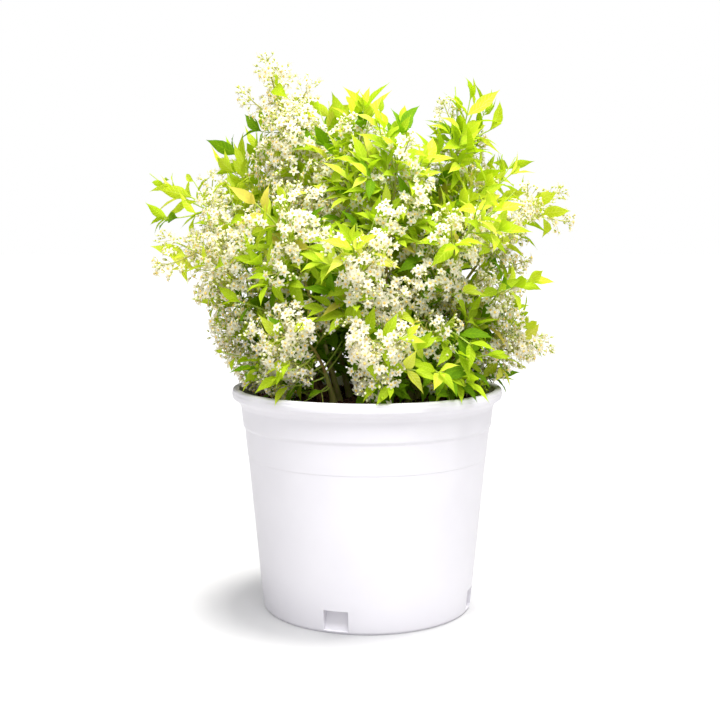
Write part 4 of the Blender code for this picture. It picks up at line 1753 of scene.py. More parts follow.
class Room:
    """Where growth may go: each mass keeps its twigs to its own space, and all stay clear of the pot."""

    def __init__(self, ways: dict[str, Way], pot: NurseryPot) -> None:
        """Measures the space of each mass.

        Args:
            ways: The way of each mass.
            pot: The pot that nothing may touch.
        """
        self.pot = pot
        self.low, self.high = CAD_BOX
        samples = {}
        for mass in MASSES:
            way = ways[mass.name]
            count = math.ceil(way.length(mass.entry, 1) / HABIT.sample_step)
            samples[mass.name] = way.samples(mass.entry, 1, count)
        self.own = {name: self.tree(points) for name, points in samples.items()}
        self.others = {}
        for name in samples:
            self.others[name] = self.tree([p for other in samples if other != name for p in samples[other]])

    @staticmethod
    def tree(points: Sequence[Vector]) -> KDTree:
        """A search tree of these points.

        Args:
            points: The points.

        Returns:
            The tree.
        """
        made = KDTree(len(points))
        for i, point in enumerate(points):
            made.insert(point, i)
        made.balance()
        return made

    def in_cell(self, name: str, point: Vector, slack: float = 0.0) -> bool:
        """True if the point is nearer to the stem of this mass than to any other's, but for the slack."""
        return self.own[name].find(point)[2] + HABIT.cell_gap < self.others[name].find(point)[2] + slack

    def off_pot(self, point: Vector) -> bool:
        """Tells whether a point is clear of the pot and the soil.

        Args:
            point: The point.

        Returns:
            True if it is clear of both.
        """
        radius = math.hypot(point.x, point.y)
        gap = HABIT.pot_gap
        if radius < self.pot.lip_radius - self.pot.lip_width - gap:
            return point.z > SOIL_TOP + gap
        return radius > self.pot.lip_radius + gap or point.z > self.pot.height + gap

    def in_box(self, point: Vector) -> bool:
        """True if the point is inside the frame's box, or only just out of it."""
        spare = HABIT.box_spare
        return all(low - spare < here < high + spare for low, here, high in zip(self.low, point, self.high))

    def in_hollow(self, point: Vector) -> bool:
        """Tells whether a point is in the gap at the front, through which the stems are seen.

        Args:
            point: The point.

        Returns:
            True if it is in it.
        """
        if point.z > HABIT.hollow_top or point.xy.length < HABIT.hollow_radius:
            return False
        off = (math.atan2(point.y, point.x) - HABIT.hollow_bearing + math.pi) % math.tau - math.pi
        return abs(off) < HABIT.hollow_half

    def left_of_crown(self, point: Vector) -> bool:
        """True if the point is under the left of the crown, which rises steeply from the pot's lip."""
        return -point.x > HABIT.left_foot + (point.z - self.pot.height) * HABIT.left_flare

    def allows(self, mass: Mass, *points: Vector) -> bool:
        """Tells whether growth may reach some points.

        Args:
            mass: The mass whose twig, leaf or flower it is.
            points: The points.

        Returns:
            True if it may reach them all.
        """
        top = max(mass.height, HABIT.least_top) + HABIT.top_spill
        edge = max(mass.reach, HABIT.least_edge)
        if mass.height > HABIT.hem_height:
            edge += HABIT.side_spill
        for point in points:
            if point.z > top or point.xy.length > edge or self.in_hollow(point):
                return False
            if self.left_of_crown(point) or any(gap.holds(point) for gap in GAPS):
                return False
            if not (self.in_box(point) and self.off_pot(point)):
                return False
        return True


class Growth:
    """Grows one mass: its stem, its laterals and their finer twigs, its leaves and its panicles."""

    def __init__(self, mass: Mass, way: Way, room: Room, crop: Crop) -> None:
        """Starts a mass."""
        self.mass, self.way, self.room, self.crop = mass, way, room, crop
        self.size = min(1.0, max(HABIT.least_vigour, way.length(mass.entry, 1) / HABIT.long_mass))

    def grow(self) -> None:
        """Grows the whole mass."""
        self.stem()
        self.tip()
        for between in (False, True):
            for node, share in enumerate(self.node_shares(between)):
                self.stem_leaves(share, node, between)
                crowded = between and self.along(share) > HABIT.open_from
                for side in range(0 if crowded else 2):
                    self.lateral(node, side, share, between)
        self.core()
        if self.mass.height < HABIT.hem_height:
            self.hem()
        if self.mass.height > HABIT.whip_height and self.mass.bloom <= HABIT.spike_bloom:
            self.whips()

    def node_shares(self, between: bool) -> list[float]:
        """Where pairs of laterals leave the stem.

        Args:
            between: False for the frame's own, and True for the finer ones between them.

        Returns:
            The shares of the way.
        """
        mass = self.mass
        count = round(self.way.length(mass.entry, 1) / (HABIT.node_step * self.size))
        first = HABIT.node_first + (HABIT.between_share if between else 0.0)
        return [mass.entry + (1 - mass.entry) * (node + first) / count for node in range(count)]

    def along(self, share: float) -> float:
        """How far up the mass's own stem a place on the way is, from 0 to 1."""
        return (share - self.mass.entry) / (1 - self.mass.entry)

    def leader(self) -> Vector:
        """Where the stem ends: past the frame's stem, as far as its shorter leaves leave room for."""
        in_bloom = self.mass.bloom > HABIT.spike_bloom
        return self.way.tip + self.way.heading(1.0) * (0.0 if in_bloom else HABIT.leader)

    def stem(self) -> None:
        """Sets out the stem that grows on from the cane."""
        mass = self.mass
        points = self.way.samples(mass.entry - HABIT.stem_overlap, 1, HABIT.stem_steps)
        points.append(self.leader())
        radii = []
        ages = []
        woody = HABIT.woody_age if mass.bloom > HABIT.woody_bloom else HABIT.green_age
        for i in range(len(points)):
            along = i / (len(points) - 1)
            radii.append(HABIT.cane_tip_radius + (HABIT.stem_tip_radius - HABIT.cane_tip_radius) * along)
            ages.append(woody * (1 - along) ** HABIT.age_power)
        self.crop.tubes[Wood.SHOOT].append(Tube(points, radii, ages))

    def light(self, place: Vector) -> float:
        """How much light a place gets, from 0 to 1, which picks the tints of its leaves as painted light and
        shade.

        Args:
            place: Where the leaves are.

        Returns:
            0 deep inside and low down, where the darker tints paint shade, and 1 high up or at the edge,
            where the yellower tints paint light. Less of it counts for shoots that stand clear of the crown,
            so their leaves take greener tints.
        """
        up = min(1.0, max(0.0, (place.z - SOIL_TOP) / LEAF.light_height))
        out = min(1.0, place.xy.length / LEAF.light_reach)
        sun = 1 - (1 - up**LEAF.light_rise) * (1 - out**2)
        clear = place.z > HABIT.clear_height or place.xy.length > HABIT.clear_reach
        return sun - HABIT.clear_loss if clear else sun

    def twig(self, foot: Vector, direction: Vector, reach: float, slack: float) -> list[Vector] | None:
        """A twig that sags a little, as long as there is space for.

        Args:
            foot: Where it starts.
            direction: Where it heads.
            reach: How long it is at most.
            slack: How far it may leave its mass's own space.

        Returns:
            Its points, or None if there is no space.
        """
        for shrink in HABIT.twig_tries:
            end = foot + direction * reach * shrink
            middle = foot.lerp(end, 0.5) - UP * HABIT.sag * reach * shrink
            points = []
            for i in range(HABIT.twig_steps + 1):
                share = i / HABIT.twig_steps
                points.append(foot * (1 - share) ** 2 + middle * 2 * share * (1 - share) + end * share**2)
            outer = points[HABIT.twig_steps // 2 :]
            if self.room.in_cell(self.mass.name, end, slack) and self.room.allows(self.mass, *outer):
                return points
        return None

    def lateral(self, node: int, side: int, share: float, between: bool) -> None:
        """Grows one lateral: the frame's own, or one of the finer ones between those.

        Args:
            node: The number of its node.
            side: 0 or 1, for the two laterals of a pair.
            share: Where the node is on the way.
            between: True for a finer one.
        """
        mass = self.mass
        dice = Dice(f"{mass.name} {node} {side}" + (" between" if between else ""))
        heading = self.way.heading(share)
        along = self.along(share)
        quarter = math.pi / 4 if between else 0.0
        roll = node * math.pi / 2 + quarter + side * math.pi + dice.uniform(-HABIT.roll_sway, HABIT.roll_sway)
        opening = HABIT.lateral_angle + dice.uniform(-HABIT.angle_sway, HABIT.angle_sway)
        direction = heading * math.cos(opening) + sideways(heading, roll) * math.sin(opening)
        direction = (direction + UP * HABIT.lateral_lift).normalized()
        reach = self.size * HABIT.lateral_length * (1 - HABIT.lateral_shorten * along)
        reach *= dice.uniform(*HABIT.length_sway) * (HABIT.between_length if between else 1.0)
        flowers = dice.random() < mass.bloom * (HABIT.between_bloom if between else 1.0)
        points = self.twig(self.way.point(share), direction, reach, HABIT.lateral_slack)
        if points:
            self.dress(points, flowers, along < HABIT.open_from, dice)

    def dress(self, points: list[Vector], flowers: bool, branched: bool, dice: Dice) -> None:
        """Gives a twig its bark, its leaves and sprigs, and a panicle or a leafy tip at its end.

        Args:
            points: The twig.
            flowers: True if it ends in a panicle.
            branched: True if it has sprigs.
            dice: The twig's dice.
        """
        age = HABIT.flowering_age if flowers else HABIT.leafy_age
        self.crop.add_tube(Wood.SHOOT, points, HABIT.lateral_foot_radius, HABIT.lateral_tip_radius, age)
        if flowers:
            self.leafy_run(points, dice, HABIT.leaves_under_panicle)
            self.panicle(points, dice, HABIT.panicle_from)
        else:
            self.leafy_run(points, dice, HABIT.leaves_on_twig)
            self.fan(*end_of(points), dice, 1.0)
        if branched and path_length(points) > HABIT.sprig_room * HABIT.sprig_length:
            for number, share in enumerate(HABIT.sprig_places):
                self.sprigs(points, share, number, flowers, dice)

    def sprigs(self, points: list[Vector], share: float, number: int, flowers: bool, dice: Dice) -> None:
        """A pair of short sprigs from a node of a twig, each with a small panicle or a fan of leaves.

        Args:
            points: The twig.
            share: How far along the twig they leave it.
            number: The number of the pair, which crosses the one before.
            flowers: True if they may flower.
            dice: The twig's dice.
        """
        place, heading = along_path(points, share)
        start = dice.uniform(0, math.pi)
        for side in range(2):
            across = sideways(heading, start + number * math.pi / 2 + side * math.pi)
            direction = (heading * HABIT.sprig_ahead + across + UP * HABIT.sprig_lift).normalized()
            reach = HABIT.sprig_length * dice.uniform(*HABIT.sprig_sway)
            sprig = self.twig(place, direction, reach, HABIT.sprig_slack)
            blooms = flowers and dice.random() < HABIT.sprig_bloom
            if not sprig:
                continue
            tip = BLOOM.axis_radius
            self.crop.add_tube(Wood.SHOOT, sprig, HABIT.lateral_tip_radius, tip, HABIT.sprig_age)
            if blooms:
                self.panicle(sprig, dice, HABIT.sprig_panicle_from)
            else:
                self.leafy_run(sprig, dice, HABIT.sprig_leaves)
                self.fan(*end_of(sprig), dice, HABIT.sprig_fan)

    def hem(self) -> None:
        """Low shoots that leave the cane over the soil and hang to the pot's lip."""
        mass = self.mass
        is_behind = HABIT.hem_behind[0] < mass.bearing < HABIT.hem_behind[1]
        for number in range(HABIT.hem_shoots_behind if is_behind else HABIT.hem_shoots):
            dice = Dice(f"{mass.name} hem {number}")
            share = mass.entry * dice.uniform(*HABIT.hem_places)
            bearing = math.radians(mass.bearing + dice.uniform(-HABIT.hem_sway, HABIT.hem_sway))
            dip = math.radians(dice.uniform(*HABIT.hem_dip))
            direction = polar(bearing, math.cos(dip), math.sin(dip))
            reach = dice.uniform(*HABIT.hem_length)
            points = self.twig(self.way.point(share), direction, reach, HABIT.hem_slack)
            if points:
                self.dress(points, dice.random() < mass.bloom * HABIT.hem_bloom, number % 2 == 0, dice)

    def core(self) -> None:
        """Short leafy shoots on the cane, which fill the inside of the crown."""
        for number in range(CORE.count):
            dice = Dice(f"{self.mass.name} core {number}")
            share = self.mass.entry * dice.uniform(*CORE.places)
            heading = self.way.heading(share)
            aside = sideways(heading, dice.uniform(0, math.tau))
            self.leafy_shoot(CORE, share, heading * HABIT.core_ahead + aside, dice)

    def whips(self) -> None:
        """Slender leafy shoots that stand out of the crown, past its sprays."""
        mass = self.mass
        for number in range(WHIP.count):
            dice = Dice(f"{mass.name} whip {number}")
            share = mass.entry + (1 - mass.entry) * dice.uniform(*WHIP.places)
            heading = self.way.heading(share)
            aside = sideways(heading, dice.uniform(0, math.tau)) * HABIT.whip_aside
            self.leafy_shoot(WHIP, share, heading + aside + UP * HABIT.whip_lift, dice)

    def leafy_shoot(self, kind: Shoot, share: float, aim: Vector, dice: Dice) -> None:
        """A short shoot with leaves alone, if there is space for it.

        Args:
            kind: The kind of shoot.
            share: Where on the way it starts.
            aim: Where it heads, of any length.
            dice: The shoot's dice.
        """
        points = self.twig(self.way.point(share), aim.normalized(), dice.uniform(*kind.length), kind.slack)
        if points:
            foot, tip = HABIT.lateral_foot_radius, HABIT.lateral_tip_radius
            self.crop.add_tube(Wood.SHOOT, points, foot, tip, kind.age)
            self.leafy_run(points, dice, kind.leaves)
            self.fan(*end_of(points), dice, kind.fan)

    def stem_leaves(self, share: float, node: int, between: bool) -> None:
        """The pair of leaves whose axils the laterals of a node grow from.

        Args:
            share: Where the node is on the way.
            node: Its number.
            between: True for a finer one.
        """
        if self.mass.bloom > HABIT.spike_bloom and self.along(share) > HABIT.spike_leaves:
            return
        dice = Dice(f"{self.mass.name} {node} {between} stem leaves")
        roll = node * math.pi / 2 + (math.pi / 4 if between else 0.0)
        size = dice.uniform(*LEAF.stem_sway)
        place, heading = self.way.point(share), self.way.heading(share)
        self.leaf_pair(place, heading, roll, size, LEAF.leaf_angle * LEAF.stem_opening, dice)

    def leafy_run(self, points: list[Vector], dice: Dice, stretch: Pair) -> None:
        """Pairs of leaves along a stretch of a twig, each pair crossed to the one before.

        Args:
            points: The twig.
            dice: The twig's dice.
            stretch: The shares of the twig where they start and end.
        """
        start, end = stretch
        count = max(1, round(path_length(points) * (end - start) / LEAF.leaf_step))
        roll = dice.uniform(0, math.pi)
        for i in range(count):
            share = start + (end - start) * (i + 0.5) / count
            place, heading = along_path(points, share)
            size = (1.0 - LEAF.run_shorten * share) * dice.uniform(*LEAF.run_sway)
            opening = LEAF.leaf_angle * (LEAF.run_opening - LEAF.run_closing * share)
            self.leaf_pair(place, heading, roll + i * math.pi / 2, size, opening, dice, LEAF.run_youth * i)

    def fan(self, place: Vector, heading: Vector, dice: Dice, size: float) -> None:
        """The young leaves that a shoot ends in: two crossed pairs that close round its tip.

        Args:
            place: The tip of the shoot.
            heading: Where it heads.
            dice: The twig's dice.
            size: How large the leaves are.
        """
        roll = dice.uniform(0, math.pi)
        foot, opening = place - heading * LEAF.outer_back, LEAF.tip_angle * LEAF.outer_opening
        self.leaf_pair(foot, heading, roll, LEAF.outer_size * size, opening, dice)
        roll, opening = roll + math.pi / 2, LEAF.tip_angle * LEAF.inner_opening
        self.leaf_pair(place, heading, roll, LEAF.inner_size * size, opening, dice, LEAF.inner_youth)

    def leaf_pair(
        self,
        foot: Vector,
        heading: Vector,
        roll: float,
        size: float,
        opening: float,
        dice: Dice,
        youth: float = 0.0,
    ) -> None:
        """Adds two opposite leaves, each left out if it has no room.

        Args:
            foot: Where they meet the twig.
            heading: Where the twig heads.
            roll: How far the pair is turned round the twig.
            size: Their length as a share of a full leaf's.
            opening: Their angle to the twig.
            dice: The twig's dice.
            youth: What their youth adds to the light that tints them.
        """
        # the tint follows the light the place gets, which paints light and shade, and youth adds the real
        # yellow of young leaves
        tint = Tint.in_light(self.light(foot) + youth, dice)
        for side in (0.0, math.pi):
            across = sideways(heading, roll + side + dice.uniform(-LEAF.roll_sway, LEAF.roll_sway))
            angle = opening + dice.uniform(-LEAF.angle_sway, LEAF.angle_sway)
            along = heading * math.cos(angle) + across * math.sin(angle)
            whole = size * self.size * LEAF.leaf_length * dice.uniform(*LEAF.length_sway)
            outward = Vector((foot.x, foot.y, 0.0)) * LEAF.outward
            facing = UP * LEAF.to_sky + outward - along * LEAF.back
            pick, tone = dice.randrange(LEAF_KINDS), dice.random()
            for shrink in LEAF.leaf_tries:
                grown = whole * shrink
                middle, tip = foot + along * grown * 0.5, foot + along * grown
                if self.room.allows(self.mass, middle, tip):
                    if self.crop.has_room(middle, LEAF.leaf_apart):
                        self.crop.leaves[tint].append(Place(foot, framed(along, facing), grown, pick, tone))
                    break

    def tip(self) -> None:
        """What the stem of the mass ends in: a tall panicle, or a leafy shoot."""
        dice = Dice(f"{self.mass.name} tip")
        end, heading = self.leader(), self.way.heading(1.0)
        if self.mass.bloom > HABIT.spike_bloom:
            points = self.way.samples(BLOOM.spike_from, 1, HABIT.twig_steps)
            points.append(end + heading * HABIT.tip_overhang_bloom * BLOOM.spike_overhang)
            self.panicle(points, dice, BLOOM.spike_panicle_from)
        else:
            self.fan(end, heading, dice, 1.0)
            roll = dice.uniform(0, math.pi)
            foot, opening = end - heading * LEAF.leader_back, LEAF.leaf_angle * LEAF.leader_opening
            self.leaf_pair(foot, heading, roll, LEAF.leader_size, opening, dice)

    def panicle(self, points: list[Vector], dice: Dice, start: float) -> None:
        """A panicle on the end of a twig: branchlets in crossed pairs, with buds towards its tip.

        Args:
            points: The twig.
            dice: The twig's dice.
            start: The share of the twig where the panicle starts.
        """
        count = max(2, round(path_length(points) * (1 - start) / BLOOM.panicle_step))
        roll = dice.uniform(0, math.pi)
        for i in range(count):
            along = (i + 0.5) / count
            place, heading = along_path(points, start + (1 - start) * along)
            reach = BLOOM.branchlet * (1.0 - BLOOM.branchlet_shorten * along)
            reach *= dice.uniform(*BLOOM.branchlet_sway)
            for side in range(2):
                sway = dice.uniform(-BLOOM.branchlet_roll, BLOOM.branchlet_roll)
                across = sideways(heading, roll + i * math.pi / 2 + side * math.pi + sway)
                angle = math.radians(BLOOM.branchlet_opening[0] - BLOOM.branchlet_opening[1] * along)
                angle += dice.uniform(-BLOOM.branchlet_angle_sway, BLOOM.branchlet_angle_sway)
                direction = (heading * math.cos(angle) + across * math.sin(angle)).normalized()
                self.branchlet(place, direction, reach, along, dice)
        end, heading = along_path(points, 1.0)
        self.bloom(end, heading, BLOOM.end_along, dice)
        for i in range(BLOOM.end_blooms):
            aside = sideways(heading, roll + i * BLOOM.end_turn) * BLOOM.end_aside
            self.bloom(end - heading * BLOOM.end_back, (heading + aside).normalized(), 1.0, dice)

    def branchlet(self, foot: Vector, direction: Vector, reach: float, along: float, dice: Dice) -> None:
        """One branchlet of a panicle, with a flower or a bud at its end and two beside it.

        Args:
            foot: Where it leaves the panicle's axis.
            direction: Where it heads.
            reach: How long it is.
            along: How far up the panicle it is, from 0 to 1.
            dice: The twig's dice.
        """
        end = foot + direction * reach
        if not self.room.allows(self.mass, end):
            return
        tip = BLOOM.pedicel_radius
        self.crop.add_tube(Wood.STALK, [foot, end], tip * BLOOM.branchlet_flare, tip, BLOOM.stalk_age)
        self.bloom(end, direction, along, dice)
        roll = dice.uniform(0, math.pi)
        for side in range(2):
            across = sideways(direction, roll + side * math.pi)
            beside = (direction * BLOOM.beside_ahead + across * BLOOM.beside_aside).normalized()
            place = foot.lerp(end, BLOOM.beside_place[0] + BLOOM.beside_place[1] * side)
            self.bloom(place, beside, along + BLOOM.beside_along * side, dice)

    def bloom(self, foot: Vector, direction: Vector, along: float, dice: Dice) -> None:
        """A flower or a bud on its own pedicel, left out if it has no room.

        Args:
            foot: Where the pedicel starts.
            direction: Where it heads.
            along: How far up the panicle it is, from 0 to 1: buds are commoner near the tip.
            dice: The twig's dice.
        """
        reach = BLOOM.pedicel * dice.uniform(*BLOOM.pedicel_sway)
        end = foot + direction * reach
        outward = Vector((end.x, end.y, 0.0)).normalized()
        facing = direction * BLOOM.face_ahead + outward * BLOOM.face_outward
        facing = (facing + UP * dice.uniform(*BLOOM.face_up)).normalized()
        is_bud = dice.random() < BLOOM.bud_chance[0] + BLOOM.bud_chance[1] * along**2
        size, tone, pick = dice.uniform(*BLOOM.size_sway), dice.random(), dice.randrange(STAR_KINDS)
        apart = BLOOM.bud_apart if is_bud else BLOOM.flower_apart
        if not (self.room.allows(self.mass, end) and self.crop.has_room(end, apart)):
            return
        radius, head = BLOOM.pedicel_radius, end - facing * BLOOM.pedicel_back
        self.crop.add_tube(Wood.STALK, [foot, head], radius, radius, BLOOM.pedicel_age)
        turn = framed(sideways(facing, size * BLOOM.spin), facing)
        if is_bud:
            grown = size * BLOOM.bud_length * (BLOOM.bud_shorten[0] - BLOOM.bud_shorten[1] * along)
            self.crop.buds.append(Place(end, turn, grown, pick, tone))
        else:
            self.crop.flowers.append(Place(end, turn, size * BLOOM.flower_radius, pick, tone))


class Crop:
    """All that the growth rule has set out: twigs by their wood, and places of leaves, flowers and buds."""

    def __init__(self) -> None:
        """Starts with nothing set out."""
        self.tubes: dict[Wood, list[Tube]] = {wood: [] for wood in Wood}
        self.leaves: dict[Tint, list[Place]] = {tint: [] for tint in Tint}
        self.flowers: list[Place] = []
        self.buds: list[Place] = []
        self.taken: dict[tuple[int, ...], list[Vector]] = {}

    def add_tube(self, wood: Wood, points: list[Vector], foot: float, tip: float, age: float) -> None:
        """Adds a twig whose radius runs evenly from its foot to its tip.

        Args:
            wood: Its kind of wood.
            points: Its centre line.
            foot: Its radius at the foot.
            tip: Its radius at the tip.
            age: How old its wood is at the foot, from 0 to 1. It is half as old at the tip.
        """
        last = len(points) - 1
        radii = [foot + (tip - foot) * i / last for i in range(last + 1)]
        ages = [age * (1 - 0.5 * i / last) for i in range(last + 1)]
        self.tubes[wood].append(Tube(points, radii, ages))

    def has_room(self, point: Vector, apart: float, grid: float = 0.010) -> bool:
        """Takes the point's spot, unless another lies closer than this.

        Args:
            point: The middle of a leaf or a flower.
            apart: The least distance to any other.
            grid: The side of the boxes that the spots are kept in.

        Returns:
            True if the spot was free.
        """
        key = tuple(math.floor(c / grid) for c in point)
        for dx, dy, dz in product((-1, 0, 1), repeat=3):
            for other in self.taken.get((key[0] + dx, key[1] + dy, key[2] + dz), ()):
                if (other - point).length < apart:
                    return False
        self.taken.setdefault(key, []).append(point)
        return True


@dataclass
class Canes:
    """The canes, from the soil to their masses, with the bark's ridges and flakes as relief."""

    ways: dict[str, Way]
    sides: int = 12
    steps: int = 36
    buried: float = 0.006
    ridge: float = 0.00030
    flake: float = 0.00035
    green_share: float = 0.45
    green_age: float = 0.40
    age_loss: float = 0.35
    bark_round: float = 2.2
    bark_along: float = 55.0
    bark_apart: float = 5.0
    ridges: float = 2.0
    flakes: float = 0.9
    sharp: float = math.radians(60)

    def radius(self, rise: float, along: float) -> float:
        """A cane's radius.

        Args:
            rise: Height over the soil.
            along: Share of the cane's length.

        Returns:
            The radius, with the flare at the foot.
        """
        taper = HABIT.cane_foot_radius + (HABIT.cane_tip_radius - HABIT.cane_foot_radius) * along
        flare = 1 + (HABIT.cane_flare - 1) * math.exp(-max(0.0, rise) / HABIT.cane_flare_height)
        return taper * flare

    def rings(self, mass: Mass) -> Iterator[tuple[Vector, Vector, float, float]]:
        """The rings of a cane.

        Args:
            mass: The mass that it carries.

        Yields:
            The centre, heading, radius and age of each.
        """
        way = self.ways[mass.name]
        is_green = Dice(f"{mass.name} bark").random() < self.green_share
        oldest = self.green_age if is_green else 1.0
        yield way.foot - UP * self.buried, UP, self.radius(0.0, 0.0), oldest
        for step in range(self.steps + 1):
            along = step / self.steps
            share = mass.entry * along
            point = way.point(share)
            radius = self.radius(point.z - way.foot.z, along)
            yield point, way.heading(share), radius, oldest * (1 - self.age_loss * along)

    def relief(self, number: int, angle: float, height: float) -> float:
        """How far the bark stands out.

        Args:
            number: The number of the cane.
            angle: The angle round it.
            height: The height.

        Returns:
            The distance.
        """
        spot = polar(angle, self.bark_round, height * self.bark_along)
        spot.x += number * self.bark_apart
        ridge = self.ridge * noise.noise(spot * self.ridges)
        return ridge + self.flake * max(0.0, noise.noise(spot * self.flakes))

    def build(self) -> Object:
        """All the canes as one piece, in place of the frame's canes.

        Returns:
            The finished piece.
        """
        points: list[Vector] = []
        faces: list[Face] = []
        ages: list[float] = []
        sides, count = self.sides, self.steps + 2
        for number, mass in enumerate(MASSES):
            start = len(points)
            for centre, heading, radius, age in self.rings(mass):
                for side in range(sides):
                    angle = math.tau * side / sides
                    out = radius + self.relief(number, angle, centre.z)
                    points.append(centre + sideways(heading, angle) * out)
                    ages.append(age)
            for ring in range(count - 1):
                for side in range(sides):
                    a, b = start + ring * sides + side, start + ring * sides + (side + 1) % sides
                    faces.append((a, b, b + sides, a + sides))
            top = start + (count - 1) * sides
            faces.append(tuple(range(start, start + sides)))
            faces.append(tuple(range(top, top + sides)))
        mesh = closed_mesh("canes", points, faces)
        mesh.attributes.new("age", "FLOAT", "POINT").data.foreach_set("value", ages)
        mesh.shade_smooth()
        mesh.set_sharp_from_angle(angle=self.sharp)
        piece = linked("canes", mesh)
        finish = Wood.CANE.value
        mesh.materials.append(finish.material())
        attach(piece, ROOT)
        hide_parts(*("cane_" + mass.name for mass in MASSES))
        return piece


class Crown:
    """The crown: every mass grown by the rule, and its twigs, leaves, flowers and buds joined by kind."""

    def __init__(self, pot: NurseryPot) -> None:
        """Makes ready to grow.

        Args:
            pot: The pot that it grows in.
        """
        self.ways = {mass.name: Way(mass) for mass in MASSES}
        self.room = Room(self.ways, pot)
        self.crop = Crop()
        self.stock = ShapeStock()
        self.setting = place_tree()
        self.tubing = tube_tree()

    def grow(self) -> None:
        """Grows every mass."""
        for mass in MASSES:
            Growth(mass, self.ways[mass.name], self.room, self.crop).grow()

    def set_out(
        self, name: str, places: Sequence[Place], shapes: Collection, finish: LeafSkin | ThinSkin
    ) -> list[Object]:
        """Sets shapes on places, in as many pieces as their size needs.

        Args:
            name: The pieces' name.
            places: Where the shapes go.
            shapes: The shapes.
            finish: Their finish.

        Returns:
            The finished pieces.
        """
        material = finish.material()
        pieces = []
        parts = math.ceil(len(places) / MOST_PLACES)
        for part in range(parts):
            share = places[part::parts]
            mesh = bpy.data.meshes.new(name)
            mesh.from_pydata([tuple(p.foot) for p in share], [], [])
            for label, kind, values in (
                ("turn", "FLOAT_VECTOR", [angle for p in share for angle in p.turn]),
                ("size", "FLOAT", [p.size for p in share]),
                ("pick", "INT", [p.pick for p in share]),
                ("tone", "FLOAT", [p.tone for p in share]),
            ):
                attribute = mesh.attributes.new(label, kind, "POINT")
                attribute.data.foreach_set("vector" if kind == "FLOAT_VECTOR" else "value", values)
            carrier = linked(name if parts == 1 else f"{name}_{part + 1}", mesh)
            piece = self.setting.run(carrier, {"Shapes": shapes, "Material": material, "Size": 1.0})
            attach(piece, ROOT)
            pieces.append(piece)
        return pieces

    def tubes(self, name: str, wood: Wood, sides: int) -> Object:
        """All the twigs of one kind of wood as one piece.

        Args:
            name: The piece's name.
            wood: The kind of wood.
            sides: How many sides a twig has.

        Returns:
            The finished piece.
        """
        points: list[tuple[float, ...]] = []
        edges: list[tuple[int, int]] = []
        radii: list[float] = []
        ages: list[float] = []
        for tube in self.crop.tubes[wood]:
            start = len(points)
            points += [tuple(p) for p in tube.points]
            edges += [(start + i, start + i + 1) for i in range(len(tube.points) - 1)]
            radii += tube.radii
            ages += tube.ages
        mesh = bpy.data.meshes.new(name)
        mesh.from_pydata(points, edges, [])
        mesh.attributes.new("radius", "FLOAT", "POINT").data.foreach_set("value", radii)
        mesh.attributes.new("age", "FLOAT", "POINT").data.foreach_set("value", ages)
        finish = wood.value
        piece = self.tubing.run(linked(name, mesh), {"Sides": sides, "Material": finish.material()})
        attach(piece, ROOT)
        return piece

    def build(self) -> list[Object]:
        """Grows and dresses the crown, in place of the frame's masses.

        Returns:
            The finished pieces.
        """
        self.grow()
        crop, stock = self.crop, self.stock
        shoots = self.tubes("shoots", Wood.SHOOT, SHOOT_SIDES)
        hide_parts(*(mass.name for mass in MASSES))
        pieces = [shoots, self.tubes("flower_stalks", Wood.STALK, STALK_SIDES)]
        for tint in Tint:
            if crop.leaves[tint]:
                name = tint.value.name.replace("leaf", "leaves")
                pieces += self.set_out(name, crop.leaves[tint], stock.leaves, tint.value)
        pieces += self.set_out("petals", crop.flowers, stock.petals, PETAL)
        pieces += self.set_out("anthers", crop.flowers, stock.eyes, ANTHER)
        pieces += self.set_out("sepals", crop.flowers, stock.cups, SEPAL)
        pieces += self.set_out("buds", crop.buds, stock.buds, BUD)
        pieces += self.set_out("bud_husks", crop.buds, stock.husks, SEPAL)
        stock.discard()
        leaves = sum(map(len, crop.leaves.values()))
        logger.info("leaves %d flowers %d buds %d", leaves, len(crop.flowers), len(crop.buds))
        return pieces


# The studio


